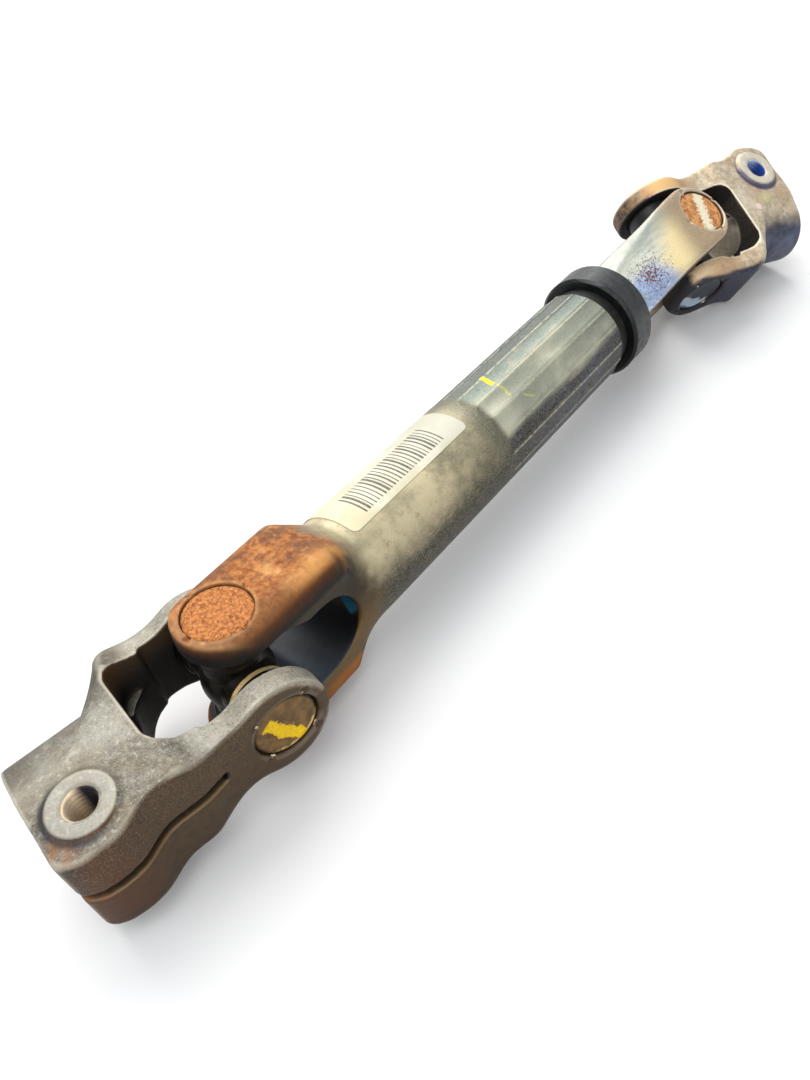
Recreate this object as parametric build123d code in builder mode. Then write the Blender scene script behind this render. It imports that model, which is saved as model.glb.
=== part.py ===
"""Intermediate steering shaft: two universal joints, clamp yokes and a telescopic tube.

The origin is the middle of the lower clamp bore. +X runs along the tube to the
upper joint, +Z is up along the cup axis of the tube fork. All sizes in millimetres.
"""

import os

from build123d import *

os.makedirs("parts", exist_ok=True)

# Layout of the joints, shaft pushed in
CROSS_SPACING = 211.6
LOWER_SWING = -14.15
LOWER_TILT = -4.98
FORK_PHASE = 31.8
UPPER_SWING = -23.29
UPPER_TILT = -1.11

# Bearing cups, rollers and crosses
CUP_R = 8.0
CUP_WALL = 1.0
CUP_BASE = 1.5
CUP_MOUTH = 10.0
JOURNAL_R = 5.0
ROLLER_R = 0.98
ROLLER_LENGTH = 5.5
ROLLER_COUNT = 18
PAD_THICKNESS = 0.55
SEAL_THICKNESS = 1.35
SEAL_SQUEEZE = 0.05
HUB_R = 7.2
HUB_CORE_R = 8.6
CUP_RECESS = 0.7
STAKE_COUNT = 4
STAKE_R = 0.9

# Clearances
PRESS_GAP = 0.02
RUNNING_GAP = 0.05
END_GAP = 0.1
STOP_GAP = 0.3

# Tube fork
TUBE_EAR_FACE = 20.35
TUBE_EAR_INNER = 13.5
TUBE_EAR_HALF_WIDTH = 11.76
TUBE_EAR_EDGE_R = 4.6
TUBE_EAR_END = 1.5
TUBE_EAR_LENGTH = 25.5
TUBE_SLOT_HALF = 10.2
TUBE_SLOT_END = 28.4
TUBE_SLOT_NARROWS = 7.0
TUBE_SLOT_TAPER = 7.0
TUBE_SHOULDER_END = 35.5

# Tube, flutes and spline
TUBE_R = 14.5
TUBE_END = 151.5
TUBE_END_ROUND = 1.6
TUBE_BORE_START = 42.0
TUBE_BORE_R = 10.6
SPLINE_COUNT = 8
SPLINE_WIDTH = 3.0
SPLINE_DEPTH = 0.8
FLUTE_COUNT = 16
FLUTE_START = 93.0
FLUTE_R = 12.0
FLUTE_DEPTH = 0.58
FLUTE_TURN = 0.75

# Paper label
LABEL_START = 38.0
LABEL_END = 84.0
LABEL_THICKNESS = 0.15
LABEL_FROM = -35.0
LABEL_TO = 112.0

# End ring and its seals
RING_START = 155.5
RING_END = 165.5
RING_R = 16.45
RING_EDGE = 0.8
RING_SPIGOT_R = 12.2
RING_SPIGOT_DEPTH = 3.0
GROOVE_SEAL_R = 13.3
WIPER_R = 12.5
WIPER_LENGTH = 3.0
SHAFT_GAP = 0.35

# Sliding shaft and sleeve
SHAFT_R = 9.0
SHAFT_START = 61.0
SLEEVE_START = 63.0
SLEEVE_LENGTH = 48.0
SPIGOT_R = 7.0
SPIGOT_LENGTH = 3.5

# Fork of the sliding shaft, x measured from the upper cross
FORK_FACE = 18.6
FORK_INNER = 13.2
FORK_BASE_HALF = 14.3
FORK_BASE_HALF_WIDTH = 10.6
FORK_WAIST_HALF_WIDTH = 10.3
FORK_EAR_R = 11.0
FORK_EAR_CENTRE = -2.6
FORK_GAP_ROOT = 6.5
FORK_GAP_R = 3.2
FORK_GAP_STRAIGHT = 12.0
FORK_SLOPE_END = 17.0
FORK_BASE_R = 15.2
FORK_EAR_REACH_R = 21.0

# Clamp yokes, x measured from the cross towards the bore
CLAMP_EAR_FACE = 20.1
CLAMP_EAR_INNER = 14.0
CLAMP_BODY_HALF = 13.6
CLAMP_HEAD_DROP = 0.9
CLAMP_HEAD_CENTRE = 1.5
CLAMP_NECK_DROP = 3.1
CLAMP_NECK_START = 9.5
CLAMP_BODY_START = 25.0
CLAMP_STEP_LENGTH = 8.5
CLAMP_END = 51.0
CLAMP_WINDOW_END = 24.3
CLAMP_WINDOW_R = 5.0
CLAMP_WINDOW_LOW_R = 10.0
CLAMP_PAD_END = 15.0
CLAMP_PAD_STEP = 1.2
CLAMP_FLANGE_REACH = 25.7
CLAMP_CREST = 42.0
CLAMP_CORNER = 4.8
CLAMP_FLAT_START = 4.0
CLAMP_BACK_OVERLAP = 1.0
CLAMP_BACK_EAR_END = 19.0
CLAMP_BORE_R = 7.6
CLAMP_BARREL_WALL = 4.7
CLAMP_SLIT = 2.2
CLAMP_SLIT_START = 15.5
BOLT_X = 40.8
BOLT_Y = 14.9
BOSS_R = 7.1
BOSS_HEIGHT = 1.2
BOSS_BASE_FLARE = 1.0
BOSS_TAPER = 20
BOLT_TAP_R = 3.4
BOLT_TAP_CHAMFER = 0.5
BOLT_CLEAR_R = 4.3

# Drawn shape of the clamp outline, as parts of its length and its rise
FLANGE_CURVE = ((0.333, 0.09), (0.506, 0.34), (0.728, 0.39), (0.827, 0.71))
BACK_CURVE = ((0.469, 0.24), (0.656, 0.5), (0.812, 0.8))
CORNER_CURVE = ((0.78, 0.33),)

# Places that follow from the sizes
CLAMP_BORE_MID = (CLAMP_WINDOW_END + CLAMP_END) / 2
CLAMP_HEAD_R = CLAMP_BODY_HALF - CLAMP_HEAD_DROP
CLAMP_NECK_HALF = CLAMP_BODY_HALF - CLAMP_NECK_DROP
CLAMP_BACK_EDGE_R = CLAMP_BODY_HALF / 4
CLAMP_FRONT_EDGE_R = CLAMP_BODY_HALF / 10
CLAMP_BARREL_R = CLAMP_BORE_R + CLAMP_BARREL_WALL
CLAMP_WINDOW_HALF = CLAMP_EAR_INNER - CLAMP_PAD_STEP
BOSS_TOP = CLAMP_BODY_HALF + BOSS_HEIGHT
LABEL_CORNER = TUBE_R / 8
TUBE_CUP_FACE = TUBE_EAR_FACE - CUP_RECESS
FORK_CUP_FACE = FORK_FACE - CUP_RECESS
CLAMP_CUP_FACE = CLAMP_EAR_FACE - CUP_RECESS
ROLLER_PITCH_R = (JOURNAL_R + CUP_R - CUP_WALL) / 2
FORK_BASE = RING_END + STOP_GAP - CROSS_SPACING
SHAFT_END = RING_END + STOP_GAP

# Frames of the moving pieces
lower_centre = (
    Rotation(0, 0, LOWER_SWING) * Rotation(0, LOWER_TILT, 0) * Location((CLAMP_BORE_MID, 0, 0))
).position
tube_frame = Location(lower_centre)
lower_cross_frame = tube_frame * Rotation(0, 0, LOWER_SWING)
lower_clamp_frame = lower_cross_frame * Rotation(0, LOWER_TILT, 0) * Rotation(0, 0, 180)
fork_frame = tube_frame * Location((CROSS_SPACING, 0, 0)) * Rotation(FORK_PHASE, 0, 0)
upper_cross_frame = fork_frame * Rotation(0, 0, UPPER_SWING)
upper_clamp_frame = upper_cross_frame * Rotation(0, UPPER_TILT, 0)
EAR_UP = Rotation(0, 0, 0)
EAR_DOWN = Rotation(180, 0, 0)
EAR_LEFT = Rotation(-90, 0, 0)
EAR_RIGHT = Rotation(90, 0, 0)


def curve_points(start, end, curve):
    """Points of a drawn curve between two corners of an outline."""
    length, rise = end[0] - start[0], end[1] - start[1]
    return [(start[0] + along * length, start[1] + up * rise) for along, up in curve]


def write_piece(piece, name, frame):
    """Put a piece in its frame and write it."""
    piece.part.label = name
    piece.part.location = frame
    export_step(piece.part, f"parts/{name}.step")


# Bearing cup, axis +Z, face outwards
def bearing_cup(name, frame, face):
    cup_height = face - CUP_MOUTH
    with BuildPart() as cup:
        with BuildSketch(Plane.XY.offset(CUP_MOUTH)):
            Circle(CUP_R)
        extrude(amount=cup_height)
        chamfer(cup.edges().filter_by(GeomType.CIRCLE).sort_by(Axis.Z)[-1], CUP_WALL / 3)
        with BuildSketch(Plane.XY.offset(CUP_MOUTH)):
            Circle(CUP_R - CUP_WALL)
        extrude(amount=cup_height - CUP_BASE, mode=Mode.SUBTRACT)
    write_piece(cup, name, frame)


# Needle rollers of one pair of cups
def needle_rollers(name, frame, ears, face):
    roller_start = face - CUP_BASE - END_GAP - ROLLER_LENGTH - PAD_THICKNESS
    with BuildPart() as rollers:
        with Locations(*ears):
            with Locations((0, 0, roller_start)):
                with PolarLocations(ROLLER_PITCH_R, ROLLER_COUNT):
                    Cylinder(ROLLER_R, ROLLER_LENGTH, align=(Align.CENTER, Align.CENTER, Align.MIN))
    write_piece(rollers, name, frame)


# Cross with two pairs of journals
def cross(name, frame, z_face, y_face):
    journal_z = z_face - CUP_BASE - END_GAP - PAD_THICKNESS
    journal_y = y_face - CUP_BASE - END_GAP - PAD_THICKNESS
    seal_seat = CUP_MOUTH - SEAL_SQUEEZE - SEAL_THICKNESS
    with BuildPart() as spider:
        with BuildSketch(Plane.XY):
            Circle(HUB_R)
        extrude(amount=seal_seat, both=True)
        with BuildSketch(Plane.XZ):
            Circle(HUB_R)
        extrude(amount=seal_seat, both=True)
        Sphere(HUB_CORE_R)
        with BuildSketch(Plane.XY):
            Circle(JOURNAL_R)
        extrude(amount=journal_z, both=True)
        with BuildSketch(Plane.XZ):
            Circle(JOURNAL_R)
        extrude(amount=journal_y, both=True)
        journal_rims = spider.edges().filter_by(GeomType.CIRCLE).filter_by(
            lambda rim: max(abs(rim.center().Z), abs(rim.center().Y)) > CUP_MOUTH
        )
        chamfer(journal_rims, JOURNAL_R / 12)
    write_piece(spider, name, frame)


# Rubber seals on the cross shoulders
def cross_seals(name, frame):
    with BuildPart() as seals:
        with Locations(EAR_UP, EAR_DOWN, EAR_LEFT, EAR_RIGHT):
            with Locations((0, 0, CUP_MOUTH - SEAL_SQUEEZE)):
                Cylinder(CUP_R - CUP_WALL / 2, SEAL_THICKNESS, align=(Align.CENTER, Align.CENTER, Align.MAX))
                Cylinder(
                    JOURNAL_R + PRESS_GAP,
                    SEAL_THICKNESS,
                    align=(Align.CENTER, Align.CENTER, Align.MAX),
                    mode=Mode.SUBTRACT,
                )
    write_piece(seals, name, frame)


# Plastic thrust pads between journal ends and cup bases
def thrust_pads(name, frame, z_face, y_face):
    with BuildPart() as pads:
        with Locations(EAR_UP, EAR_DOWN):
            with Locations((0, 0, z_face - CUP_BASE - END_GAP)):
                Cylinder(JOURNAL_R - PAD_THICKNESS, PAD_THICKNESS, align=(Align.CENTER, Align.CENTER, Align.MAX))
        with Locations(EAR_LEFT, EAR_RIGHT):
            with Locations((0, 0, y_face - CUP_BASE - END_GAP)):
                Cylinder(JOURNAL_R - PAD_THICKNESS, PAD_THICKNESS, align=(Align.CENTER, Align.CENTER, Align.MAX))
    write_piece(pads, name, frame)


# Outer tube with its forged fork
flute_reach = TUBE_END - FLUTE_START + FLUTE_R
with BuildPart() as flute_cutter:
    with BuildSketch(Plane.XY):
        Circle(FLUTE_R)
    extrude(amount=flute_reach)
    Sphere(FLUTE_R)

with BuildPart() as outer_tube_fork:
    # Ears: rounded section cut to a round end
    with BuildSketch(Plane.YZ.offset(TUBE_EAR_END - TUBE_EAR_HALF_WIDTH)):
        RectangleRounded(2 * TUBE_EAR_HALF_WIDTH, 2 * TUBE_EAR_FACE, TUBE_EAR_EDGE_R)
    extrude(amount=TUBE_EAR_LENGTH - TUBE_EAR_END + TUBE_EAR_HALF_WIDTH)
    with BuildSketch(Plane.XY):
        with Locations((TUBE_EAR_END, 0)):
            Circle(TUBE_EAR_HALF_WIDTH)
        with Locations((TUBE_EAR_END, 0)):
            Rectangle(TUBE_END, 2 * TUBE_EAR_HALF_WIDTH, align=(Align.MIN, Align.CENTER))
    extrude(amount=TUBE_EAR_FACE, both=True, mode=Mode.INTERSECT)

    # Shoulder from the fork to the round tube
    with BuildSketch(Plane.YZ.offset(TUBE_EAR_LENGTH)):
        RectangleRounded(2 * TUBE_EAR_HALF_WIDTH, 2 * TUBE_EAR_FACE, TUBE_EAR_EDGE_R)
    with BuildSketch(Plane.YZ.offset(TUBE_SHOULDER_END)):
        Circle(TUBE_R)
    loft()

    # Round tube with a rounded end
    with BuildSketch(Plane.YZ.offset(TUBE_SHOULDER_END)):
        Circle(TUBE_R)
    extrude(amount=TUBE_END - TUBE_SHOULDER_END)
    fillet(outer_tube_fork.edges().filter_by(GeomType.CIRCLE).sort_by(Axis.X)[-1], TUBE_END_ROUND)

    # Slot between the ears
    slot_centre = TUBE_SLOT_END - TUBE_SLOT_HALF
    slot_mouth = -2 * TUBE_EAR_HALF_WIDTH
    with BuildSketch(Plane.XZ):
        with BuildLine():
            Polyline(
                (slot_centre, -TUBE_SLOT_HALF),
                (TUBE_SLOT_NARROWS + TUBE_SLOT_TAPER, -TUBE_SLOT_HALF),
                (TUBE_SLOT_NARROWS, -TUBE_EAR_INNER),
                (slot_mouth, -TUBE_EAR_INNER),
                (slot_mouth, TUBE_EAR_INNER),
                (TUBE_SLOT_NARROWS, TUBE_EAR_INNER),
                (TUBE_SLOT_NARROWS + TUBE_SLOT_TAPER, TUBE_SLOT_HALF),
                (slot_centre, TUBE_SLOT_HALF),
            )
            ThreePointArc(
                (slot_centre, TUBE_SLOT_HALF), (TUBE_SLOT_END, 0), (slot_centre, -TUBE_SLOT_HALF)
            )
        make_face()
    extrude(amount=2 * TUBE_R, both=True, mode=Mode.SUBTRACT)

    # Cup holes and stake marks
    with BuildSketch(Plane.XY):
        Circle(CUP_R + PRESS_GAP)
    extrude(amount=2 * TUBE_EAR_FACE, both=True, mode=Mode.SUBTRACT)
    with Locations(EAR_UP, EAR_DOWN):
        with Locations((0, 0, TUBE_EAR_FACE)):
            with PolarLocations(CUP_R + STAKE_R, STAKE_COUNT):
                Sphere(STAKE_R, mode=Mode.SUBTRACT)

    # Splined bore and the seat of the end ring
    with BuildSketch(Plane.YZ.offset(TUBE_BORE_START)):
        Circle(TUBE_BORE_R)
        with PolarLocations(TUBE_BORE_R, SPLINE_COUNT):
            Rectangle(2 * SPLINE_DEPTH, SPLINE_WIDTH)
    extrude(amount=TUBE_END - TUBE_BORE_START, mode=Mode.SUBTRACT)
    with BuildSketch(Plane.YZ.offset(TUBE_END)):
        Circle(RING_SPIGOT_R + PRESS_GAP)
    extrude(amount=-RING_SPIGOT_DEPTH, mode=Mode.SUBTRACT)

    # Shallow flutes with scooped starts
    with Locations(Plane.YZ.offset(FLUTE_START)):
        with PolarLocations(TUBE_R + FLUTE_R - FLUTE_DEPTH, FLUTE_COUNT, start_angle=FLUTE_TURN):
            add(flute_cutter.part, mode=Mode.SUBTRACT)
write_piece(outer_tube_fork, "outer_tube_fork", tube_frame)


# Paper label round the smooth part of the tube
with BuildPart() as tube_label:
    with BuildSketch(Plane.XZ):
        with Locations((LABEL_START, TUBE_R + PRESS_GAP)):
            Rectangle(LABEL_END - LABEL_START, LABEL_THICKNESS, align=Align.MIN)
    revolve(axis=Axis.X, revolution_arc=LABEL_TO - LABEL_FROM)
    corner_edges = tube_label.edges().filter_by(
        lambda edge: abs(edge.length - LABEL_THICKNESS) < LABEL_THICKNESS / 10
    )
    fillet(corner_edges, LABEL_CORNER)
label_turn = Rotation(LABEL_FROM - 90, 0, 0)
write_piece(tube_label, "tube_label", tube_frame * label_turn)


# End ring pressed into the tube end
with BuildPart() as end_ring:
    with BuildSketch(Plane.YZ.offset(RING_START)):
        Circle(RING_R)
    extrude(amount=RING_END - RING_START)
    chamfer(end_ring.edges().filter_by(GeomType.CIRCLE), RING_EDGE)
    with BuildSketch(Plane.YZ.offset(TUBE_END - RING_SPIGOT_DEPTH)):
        Circle(RING_SPIGOT_R)
    extrude(amount=RING_START - TUBE_END + RING_SPIGOT_DEPTH)
    with BuildSketch(Plane.YZ.offset(TUBE_END - RING_SPIGOT_DEPTH)):
        Circle(SHAFT_R + SHAFT_GAP)
    extrude(amount=RING_END, mode=Mode.SUBTRACT)
    with BuildSketch(Plane.YZ.offset(RING_END)):
        Circle(WIPER_R + PRESS_GAP)
    extrude(amount=-WIPER_LENGTH, mode=Mode.SUBTRACT)
write_piece(end_ring, "end_ring", tube_frame)

with BuildPart() as groove_seal:
    with BuildSketch(Plane.YZ.offset(TUBE_END)):
        Circle(GROOVE_SEAL_R)
        Circle(RING_SPIGOT_R + PRESS_GAP, mode=Mode.SUBTRACT)
    extrude(amount=RING_START - TUBE_END)
write_piece(groove_seal, "groove_seal", tube_frame)

with BuildPart() as wiper_seal:
    with BuildSketch(Plane.YZ.offset(RING_END)):
        Circle(WIPER_R)
        Circle(SHAFT_R + RUNNING_GAP, mode=Mode.SUBTRACT)
    extrude(amount=-WIPER_LENGTH)
write_piece(wiper_seal, "wiper_seal", tube_frame)


# Sliding shaft with its splined nylon sleeve
with BuildPart() as sliding_shaft:
    with BuildSketch(Plane.YZ.offset(SHAFT_START)):
        Circle(SHAFT_R)
    extrude(amount=SHAFT_END - SHAFT_START)
    with BuildSketch(Plane.YZ.offset(SHAFT_END)):
        Circle(SPIGOT_R)
    extrude(amount=SPIGOT_LENGTH)
    chamfer(sliding_shaft.edges().filter_by(GeomType.CIRCLE).sort_by(Axis.X)[0], SHAFT_R / 9)
write_piece(sliding_shaft, "sliding_shaft", tube_frame)

with BuildPart() as slide_sleeve:
    with BuildSketch(Plane.YZ.offset(SLEEVE_START)):
        Circle(TUBE_BORE_R - RUNNING_GAP)
        with PolarLocations(TUBE_BORE_R - RUNNING_GAP, SPLINE_COUNT):
            Rectangle(2 * (SPLINE_DEPTH - RUNNING_GAP), SPLINE_WIDTH - 2 * RUNNING_GAP)
        Circle(SHAFT_R + PRESS_GAP, mode=Mode.SUBTRACT)
    extrude(amount=SLEEVE_LENGTH)
write_piece(slide_sleeve, "slide_sleeve", tube_frame)


# Long fork on the sliding shaft
with BuildPart() as shaft_fork:
    with BuildSketch(Plane.XZ):
        with BuildLine():
            Polyline(
                (FORK_BASE, -FORK_BASE_HALF),
                (-FORK_SLOPE_END, -FORK_FACE),
                (FORK_EAR_R, -FORK_FACE),
                (FORK_EAR_R, FORK_FACE),
                (-FORK_SLOPE_END, FORK_FACE),
                (FORK_BASE, FORK_BASE_HALF),
                (FORK_BASE, -FORK_BASE_HALF),
            )
        make_face()
    extrude(amount=RING_R, both=True)

    # Plan of the ears: wide base, waist and round end
    with BuildSketch(Plane.XY):
        with BuildLine():
            fork_tip = FORK_EAR_CENTRE + FORK_EAR_R
            Spline(
                (FORK_BASE, FORK_BASE_HALF_WIDTH),
                (FORK_BASE / 2, FORK_WAIST_HALF_WIDTH),
                (FORK_EAR_CENTRE, FORK_EAR_R),
                tangents=((1, 0), (1, 0)),
            )
            ThreePointArc((FORK_EAR_CENTRE, FORK_EAR_R), (fork_tip, 0), (FORK_EAR_CENTRE, -FORK_EAR_R))
            Spline(
                (FORK_EAR_CENTRE, -FORK_EAR_R),
                (FORK_BASE / 2, -FORK_WAIST_HALF_WIDTH),
                (FORK_BASE, -FORK_BASE_HALF_WIDTH),
                tangents=((-1, 0), (-1, 0)),
            )
            Line((FORK_BASE, -FORK_BASE_HALF_WIDTH), (FORK_BASE, FORK_BASE_HALF_WIDTH))
        make_face()
    extrude(amount=FORK_FACE, both=True, mode=Mode.INTERSECT)

    # Outside turned to a cone at the base
    with BuildSketch(Plane.XZ):
        with BuildLine():
            Polyline(
                (FORK_BASE, 0),
                (FORK_BASE, FORK_BASE_R),
                (-FORK_SLOPE_END, FORK_EAR_REACH_R),
                (FORK_EAR_R, FORK_EAR_REACH_R),
                (FORK_EAR_R, 0),
                (FORK_BASE, 0),
            )
        make_face()
    revolve(axis=Axis.X, mode=Mode.INTERSECT)

    # V-shaped gap between the ears
    gap_root = FORK_BASE + FORK_GAP_ROOT
    with BuildSketch(Plane.XZ):
        with BuildLine():
            Polyline(
                (gap_root, -FORK_GAP_R),
                (-FORK_GAP_STRAIGHT, -FORK_INNER),
                (2 * FORK_EAR_R, -FORK_INNER),
                (2 * FORK_EAR_R, FORK_INNER),
                (-FORK_GAP_STRAIGHT, FORK_INNER),
                (gap_root, FORK_GAP_R),
                (gap_root, -FORK_GAP_R),
            )
        gap_face = make_face()
        gap_corners = gap_face.vertices().sort_by(Axis.X)[:2]
        fillet(gap_corners, FORK_GAP_R - END_GAP)
    extrude(amount=2 * RING_R, both=True, mode=Mode.SUBTRACT)

    # Cup holes, stake marks and the seat of the shaft spigot
    with BuildSketch(Plane.XY):
        Circle(CUP_R + PRESS_GAP)
    extrude(amount=2 * FORK_FACE, both=True, mode=Mode.SUBTRACT)
    with Locations(EAR_UP, EAR_DOWN):
        with Locations((0, 0, FORK_FACE)):
            with PolarLocations(CUP_R + STAKE_R, STAKE_COUNT):
                Sphere(STAKE_R, mode=Mode.SUBTRACT)
    with BuildSketch(Plane.YZ.offset(FORK_BASE)):
        Circle(SPIGOT_R + PRESS_GAP)
    extrude(amount=SPIGOT_LENGTH + END_GAP, mode=Mode.SUBTRACT)
write_piece(shaft_fork, "shaft_fork", fork_frame)


# Clamp yoke: two ears, split body, bore and bolt boss
def clamp_yoke(name, frame):
    head_end = CLAMP_HEAD_CENTRE - CLAMP_HEAD_R
    flange_start = (CLAMP_HEAD_CENTRE, CLAMP_EAR_FACE)
    flange_crest = (CLAMP_CREST, CLAMP_FLANGE_REACH)
    flange_end = (CLAMP_END, CLAMP_FLANGE_REACH - CLAMP_CORNER)
    back_start = (CLAMP_END, CLAMP_FLAT_START - CLAMP_BACK_OVERLAP)
    back_end = (CLAMP_BACK_EAR_END, -CLAMP_EAR_FACE)
    with BuildPart() as yoke:
        # Plan outline with the bolt flange on +Y and the slim barrel side on -Y
        with BuildSketch(Plane.XY):
            with BuildLine():
                Line((head_end, -CLAMP_EAR_FACE), (head_end, CLAMP_EAR_FACE))
                Line((head_end, CLAMP_EAR_FACE), flange_start)
                Spline(
                    flange_start,
                    *curve_points(flange_start, flange_crest, FLANGE_CURVE),
                    flange_crest,
                    tangents=((1, 0), (1, 0)),
                )
                Spline(
                    flange_crest,
                    *curve_points(flange_crest, flange_end, CORNER_CURVE),
                    flange_end,
                    tangents=((1, 0), (0, -1)),
                )
                Line(flange_end, back_start)
                Spline(
                    back_start,
                    *curve_points(back_start, back_end, BACK_CURVE),
                    back_end,
                    tangents=((-1, 0), (-1, 0)),
                )
                Line(back_end, (head_end, -CLAMP_EAR_FACE))
            make_face()
        extrude(amount=CLAMP_BODY_HALF, both=True)

        # Side profile: round head, neck and full-height body
        with BuildSketch(Plane.XZ):
            with BuildLine():
                for side in (1, -1):
                    Spline(
                        (CLAMP_HEAD_CENTRE, side * CLAMP_HEAD_R),
                        (CLAMP_NECK_START, side * CLAMP_NECK_HALF),
                        (CLAMP_BODY_START - CLAMP_STEP_LENGTH, side * CLAMP_NECK_HALF),
                        (
                            CLAMP_BODY_START - CLAMP_STEP_LENGTH / 2,
                            side * (CLAMP_NECK_HALF + CLAMP_BODY_HALF) / 2,
                        ),
                        (CLAMP_BODY_START, side * CLAMP_BODY_HALF),
                        tangents=((1, 0), (1, 0)),
                    )
                    Line((CLAMP_BODY_START, side * CLAMP_BODY_HALF), (CLAMP_END, side * CLAMP_BODY_HALF))
                ThreePointArc(
                    (CLAMP_HEAD_CENTRE, CLAMP_HEAD_R),
                    (head_end, 0),
                    (CLAMP_HEAD_CENTRE, -CLAMP_HEAD_R),
                )
                Line((CLAMP_END, CLAMP_BODY_HALF), (CLAMP_END, -CLAMP_BODY_HALF))
            make_face()
        extrude(amount=2 * CLAMP_FLANGE_REACH, both=True, mode=Mode.INTERSECT)

        # Forged edges: softly rounded along the back, tighter along the flange
        long_edges = yoke.edges().filter_by(
            lambda edge: edge.bounding_box().size.X > 1 and abs(edge.center().Z) > CLAMP_NECK_HALF / 2
        )
        fillet(long_edges.filter_by(lambda edge: edge.bounding_box().max.Y < 0), CLAMP_BACK_EDGE_R)
        long_edges = yoke.edges().filter_by(
            lambda edge: edge.bounding_box().size.X > 1 and abs(edge.center().Z) > CLAMP_NECK_HALF / 2
        )
        fillet(long_edges.filter_by(lambda edge: edge.bounding_box().min.Y > 0), CLAMP_FRONT_EDGE_R)

        # Barrel round the bore, drawn out flat towards the flange, and the bolt boss
        with BuildSketch(Plane.YZ.offset(CLAMP_BODY_START)) as barrel_section:
            Circle(CLAMP_BARREL_R)
            with Locations((CLAMP_FLAT_START, 0)):
                Rectangle(CLAMP_BORE_R, 2 * CLAMP_BODY_HALF, align=(Align.MIN, Align.CENTER))
            make_hull(barrel_section.edges())
        extrude(amount=CLAMP_END - CLAMP_BODY_START)
        with BuildSketch(Plane.XY.offset(CLAMP_BODY_HALF - BOSS_BASE_FLARE)):
            with Locations((BOLT_X, BOLT_Y)):
                Circle(BOSS_R + BOSS_BASE_FLARE)
        extrude(amount=BOSS_TOP - CLAMP_BODY_HALF + BOSS_BASE_FLARE, taper=BOSS_TAPER)

        # Window: machined wide between the ears, as forged towards the bore, rounder below
        with BuildSketch(Plane.XY):
            with Locations((CLAMP_PAD_END, 0)):
                Rectangle(
                    CLAMP_PAD_END - 2 * head_end,
                    2 * CLAMP_EAR_INNER,
                    align=(Align.MAX, Align.CENTER),
                )
        extrude(amount=2 * BOSS_TOP, both=True, mode=Mode.SUBTRACT)
        for depth, corner_r in ((BOSS_TOP, CLAMP_WINDOW_R), (-BOSS_TOP, CLAMP_WINDOW_LOW_R)):
            with BuildSketch(Plane.XY):
                with BuildLine():
                    FilletPolyline(
                        (0, -CLAMP_WINDOW_HALF),
                        (CLAMP_WINDOW_END, -CLAMP_WINDOW_HALF),
                        (CLAMP_WINDOW_END, CLAMP_WINDOW_HALF),
                        (0, CLAMP_WINDOW_HALF),
                        radius=corner_r,
                    )
                    Line((0, CLAMP_WINDOW_HALF), (0, -CLAMP_WINDOW_HALF))
                make_face()
            extrude(amount=depth, mode=Mode.SUBTRACT)

        # Round bore
        with BuildSketch(Plane.YZ.offset(CLAMP_END)):
            Circle(CLAMP_BORE_R)
        extrude(amount=-CLAMP_END, mode=Mode.SUBTRACT)

        # Slit through the bolt flange
        with BuildSketch(Plane.XZ.offset(-CLAMP_FLANGE_REACH)):
            with Locations((CLAMP_SLIT_START, 0)):
                Rectangle(CLAMP_END, CLAMP_SLIT, align=(Align.MIN, Align.CENTER))
        extrude(amount=CLAMP_FLANGE_REACH, mode=Mode.SUBTRACT)

        # Tapped hole above the slit and clearance hole below it
        with BuildSketch(Plane.XY):
            with Locations((BOLT_X, BOLT_Y)):
                Circle(BOLT_TAP_R)
        extrude(amount=2 * BOSS_TOP, mode=Mode.SUBTRACT)
        tap_rims = yoke.edges().filter_by(GeomType.CIRCLE).filter_by(
            lambda rim: abs(rim.radius - BOLT_TAP_R) < PRESS_GAP
        )
        chamfer(tap_rims.sort_by(Axis.Z)[-1], BOLT_TAP_CHAMFER)
        with BuildSketch(Plane.XY):
            with Locations((BOLT_X, BOLT_Y)):
                Circle(BOLT_CLEAR_R)
        extrude(amount=-2 * BOSS_TOP, mode=Mode.SUBTRACT)

        # Cup holes and stake marks in the ears
        with Locations(EAR_LEFT, EAR_RIGHT):
            with Locations((0, 0, CLAMP_EAR_FACE)):
                with PolarLocations(CUP_R + STAKE_R, STAKE_COUNT, start_angle=180 / STAKE_COUNT):
                    Sphere(STAKE_R, mode=Mode.SUBTRACT)
        with BuildSketch(Plane.XZ):
            Circle(CUP_R + PRESS_GAP)
        extrude(amount=2 * CLAMP_EAR_FACE, both=True, mode=Mode.SUBTRACT)
    write_piece(yoke, name, frame)


clamp_yoke("lower_clamp_yoke", lower_clamp_frame)
clamp_yoke("upper_clamp_yoke", upper_clamp_frame)

# Lower joint
bearing_cup("lower_fork_cup_top", tube_frame * EAR_UP, TUBE_CUP_FACE)
bearing_cup("lower_fork_cup_bottom", tube_frame * EAR_DOWN, TUBE_CUP_FACE)
bearing_cup("lower_clamp_cup_front", lower_clamp_frame * EAR_LEFT, CLAMP_CUP_FACE)
bearing_cup("lower_clamp_cup_back", lower_clamp_frame * EAR_RIGHT, CLAMP_CUP_FACE)
needle_rollers("lower_fork_rollers", tube_frame, (EAR_UP, EAR_DOWN), TUBE_CUP_FACE)
needle_rollers("lower_clamp_rollers", lower_clamp_frame, (EAR_LEFT, EAR_RIGHT), CLAMP_CUP_FACE)
cross("lower_cross", lower_cross_frame, TUBE_CUP_FACE, CLAMP_CUP_FACE)
cross_seals("lower_cross_seals", lower_cross_frame)
thrust_pads("lower_thrust_pads", lower_cross_frame, TUBE_CUP_FACE, CLAMP_CUP_FACE)

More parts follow.
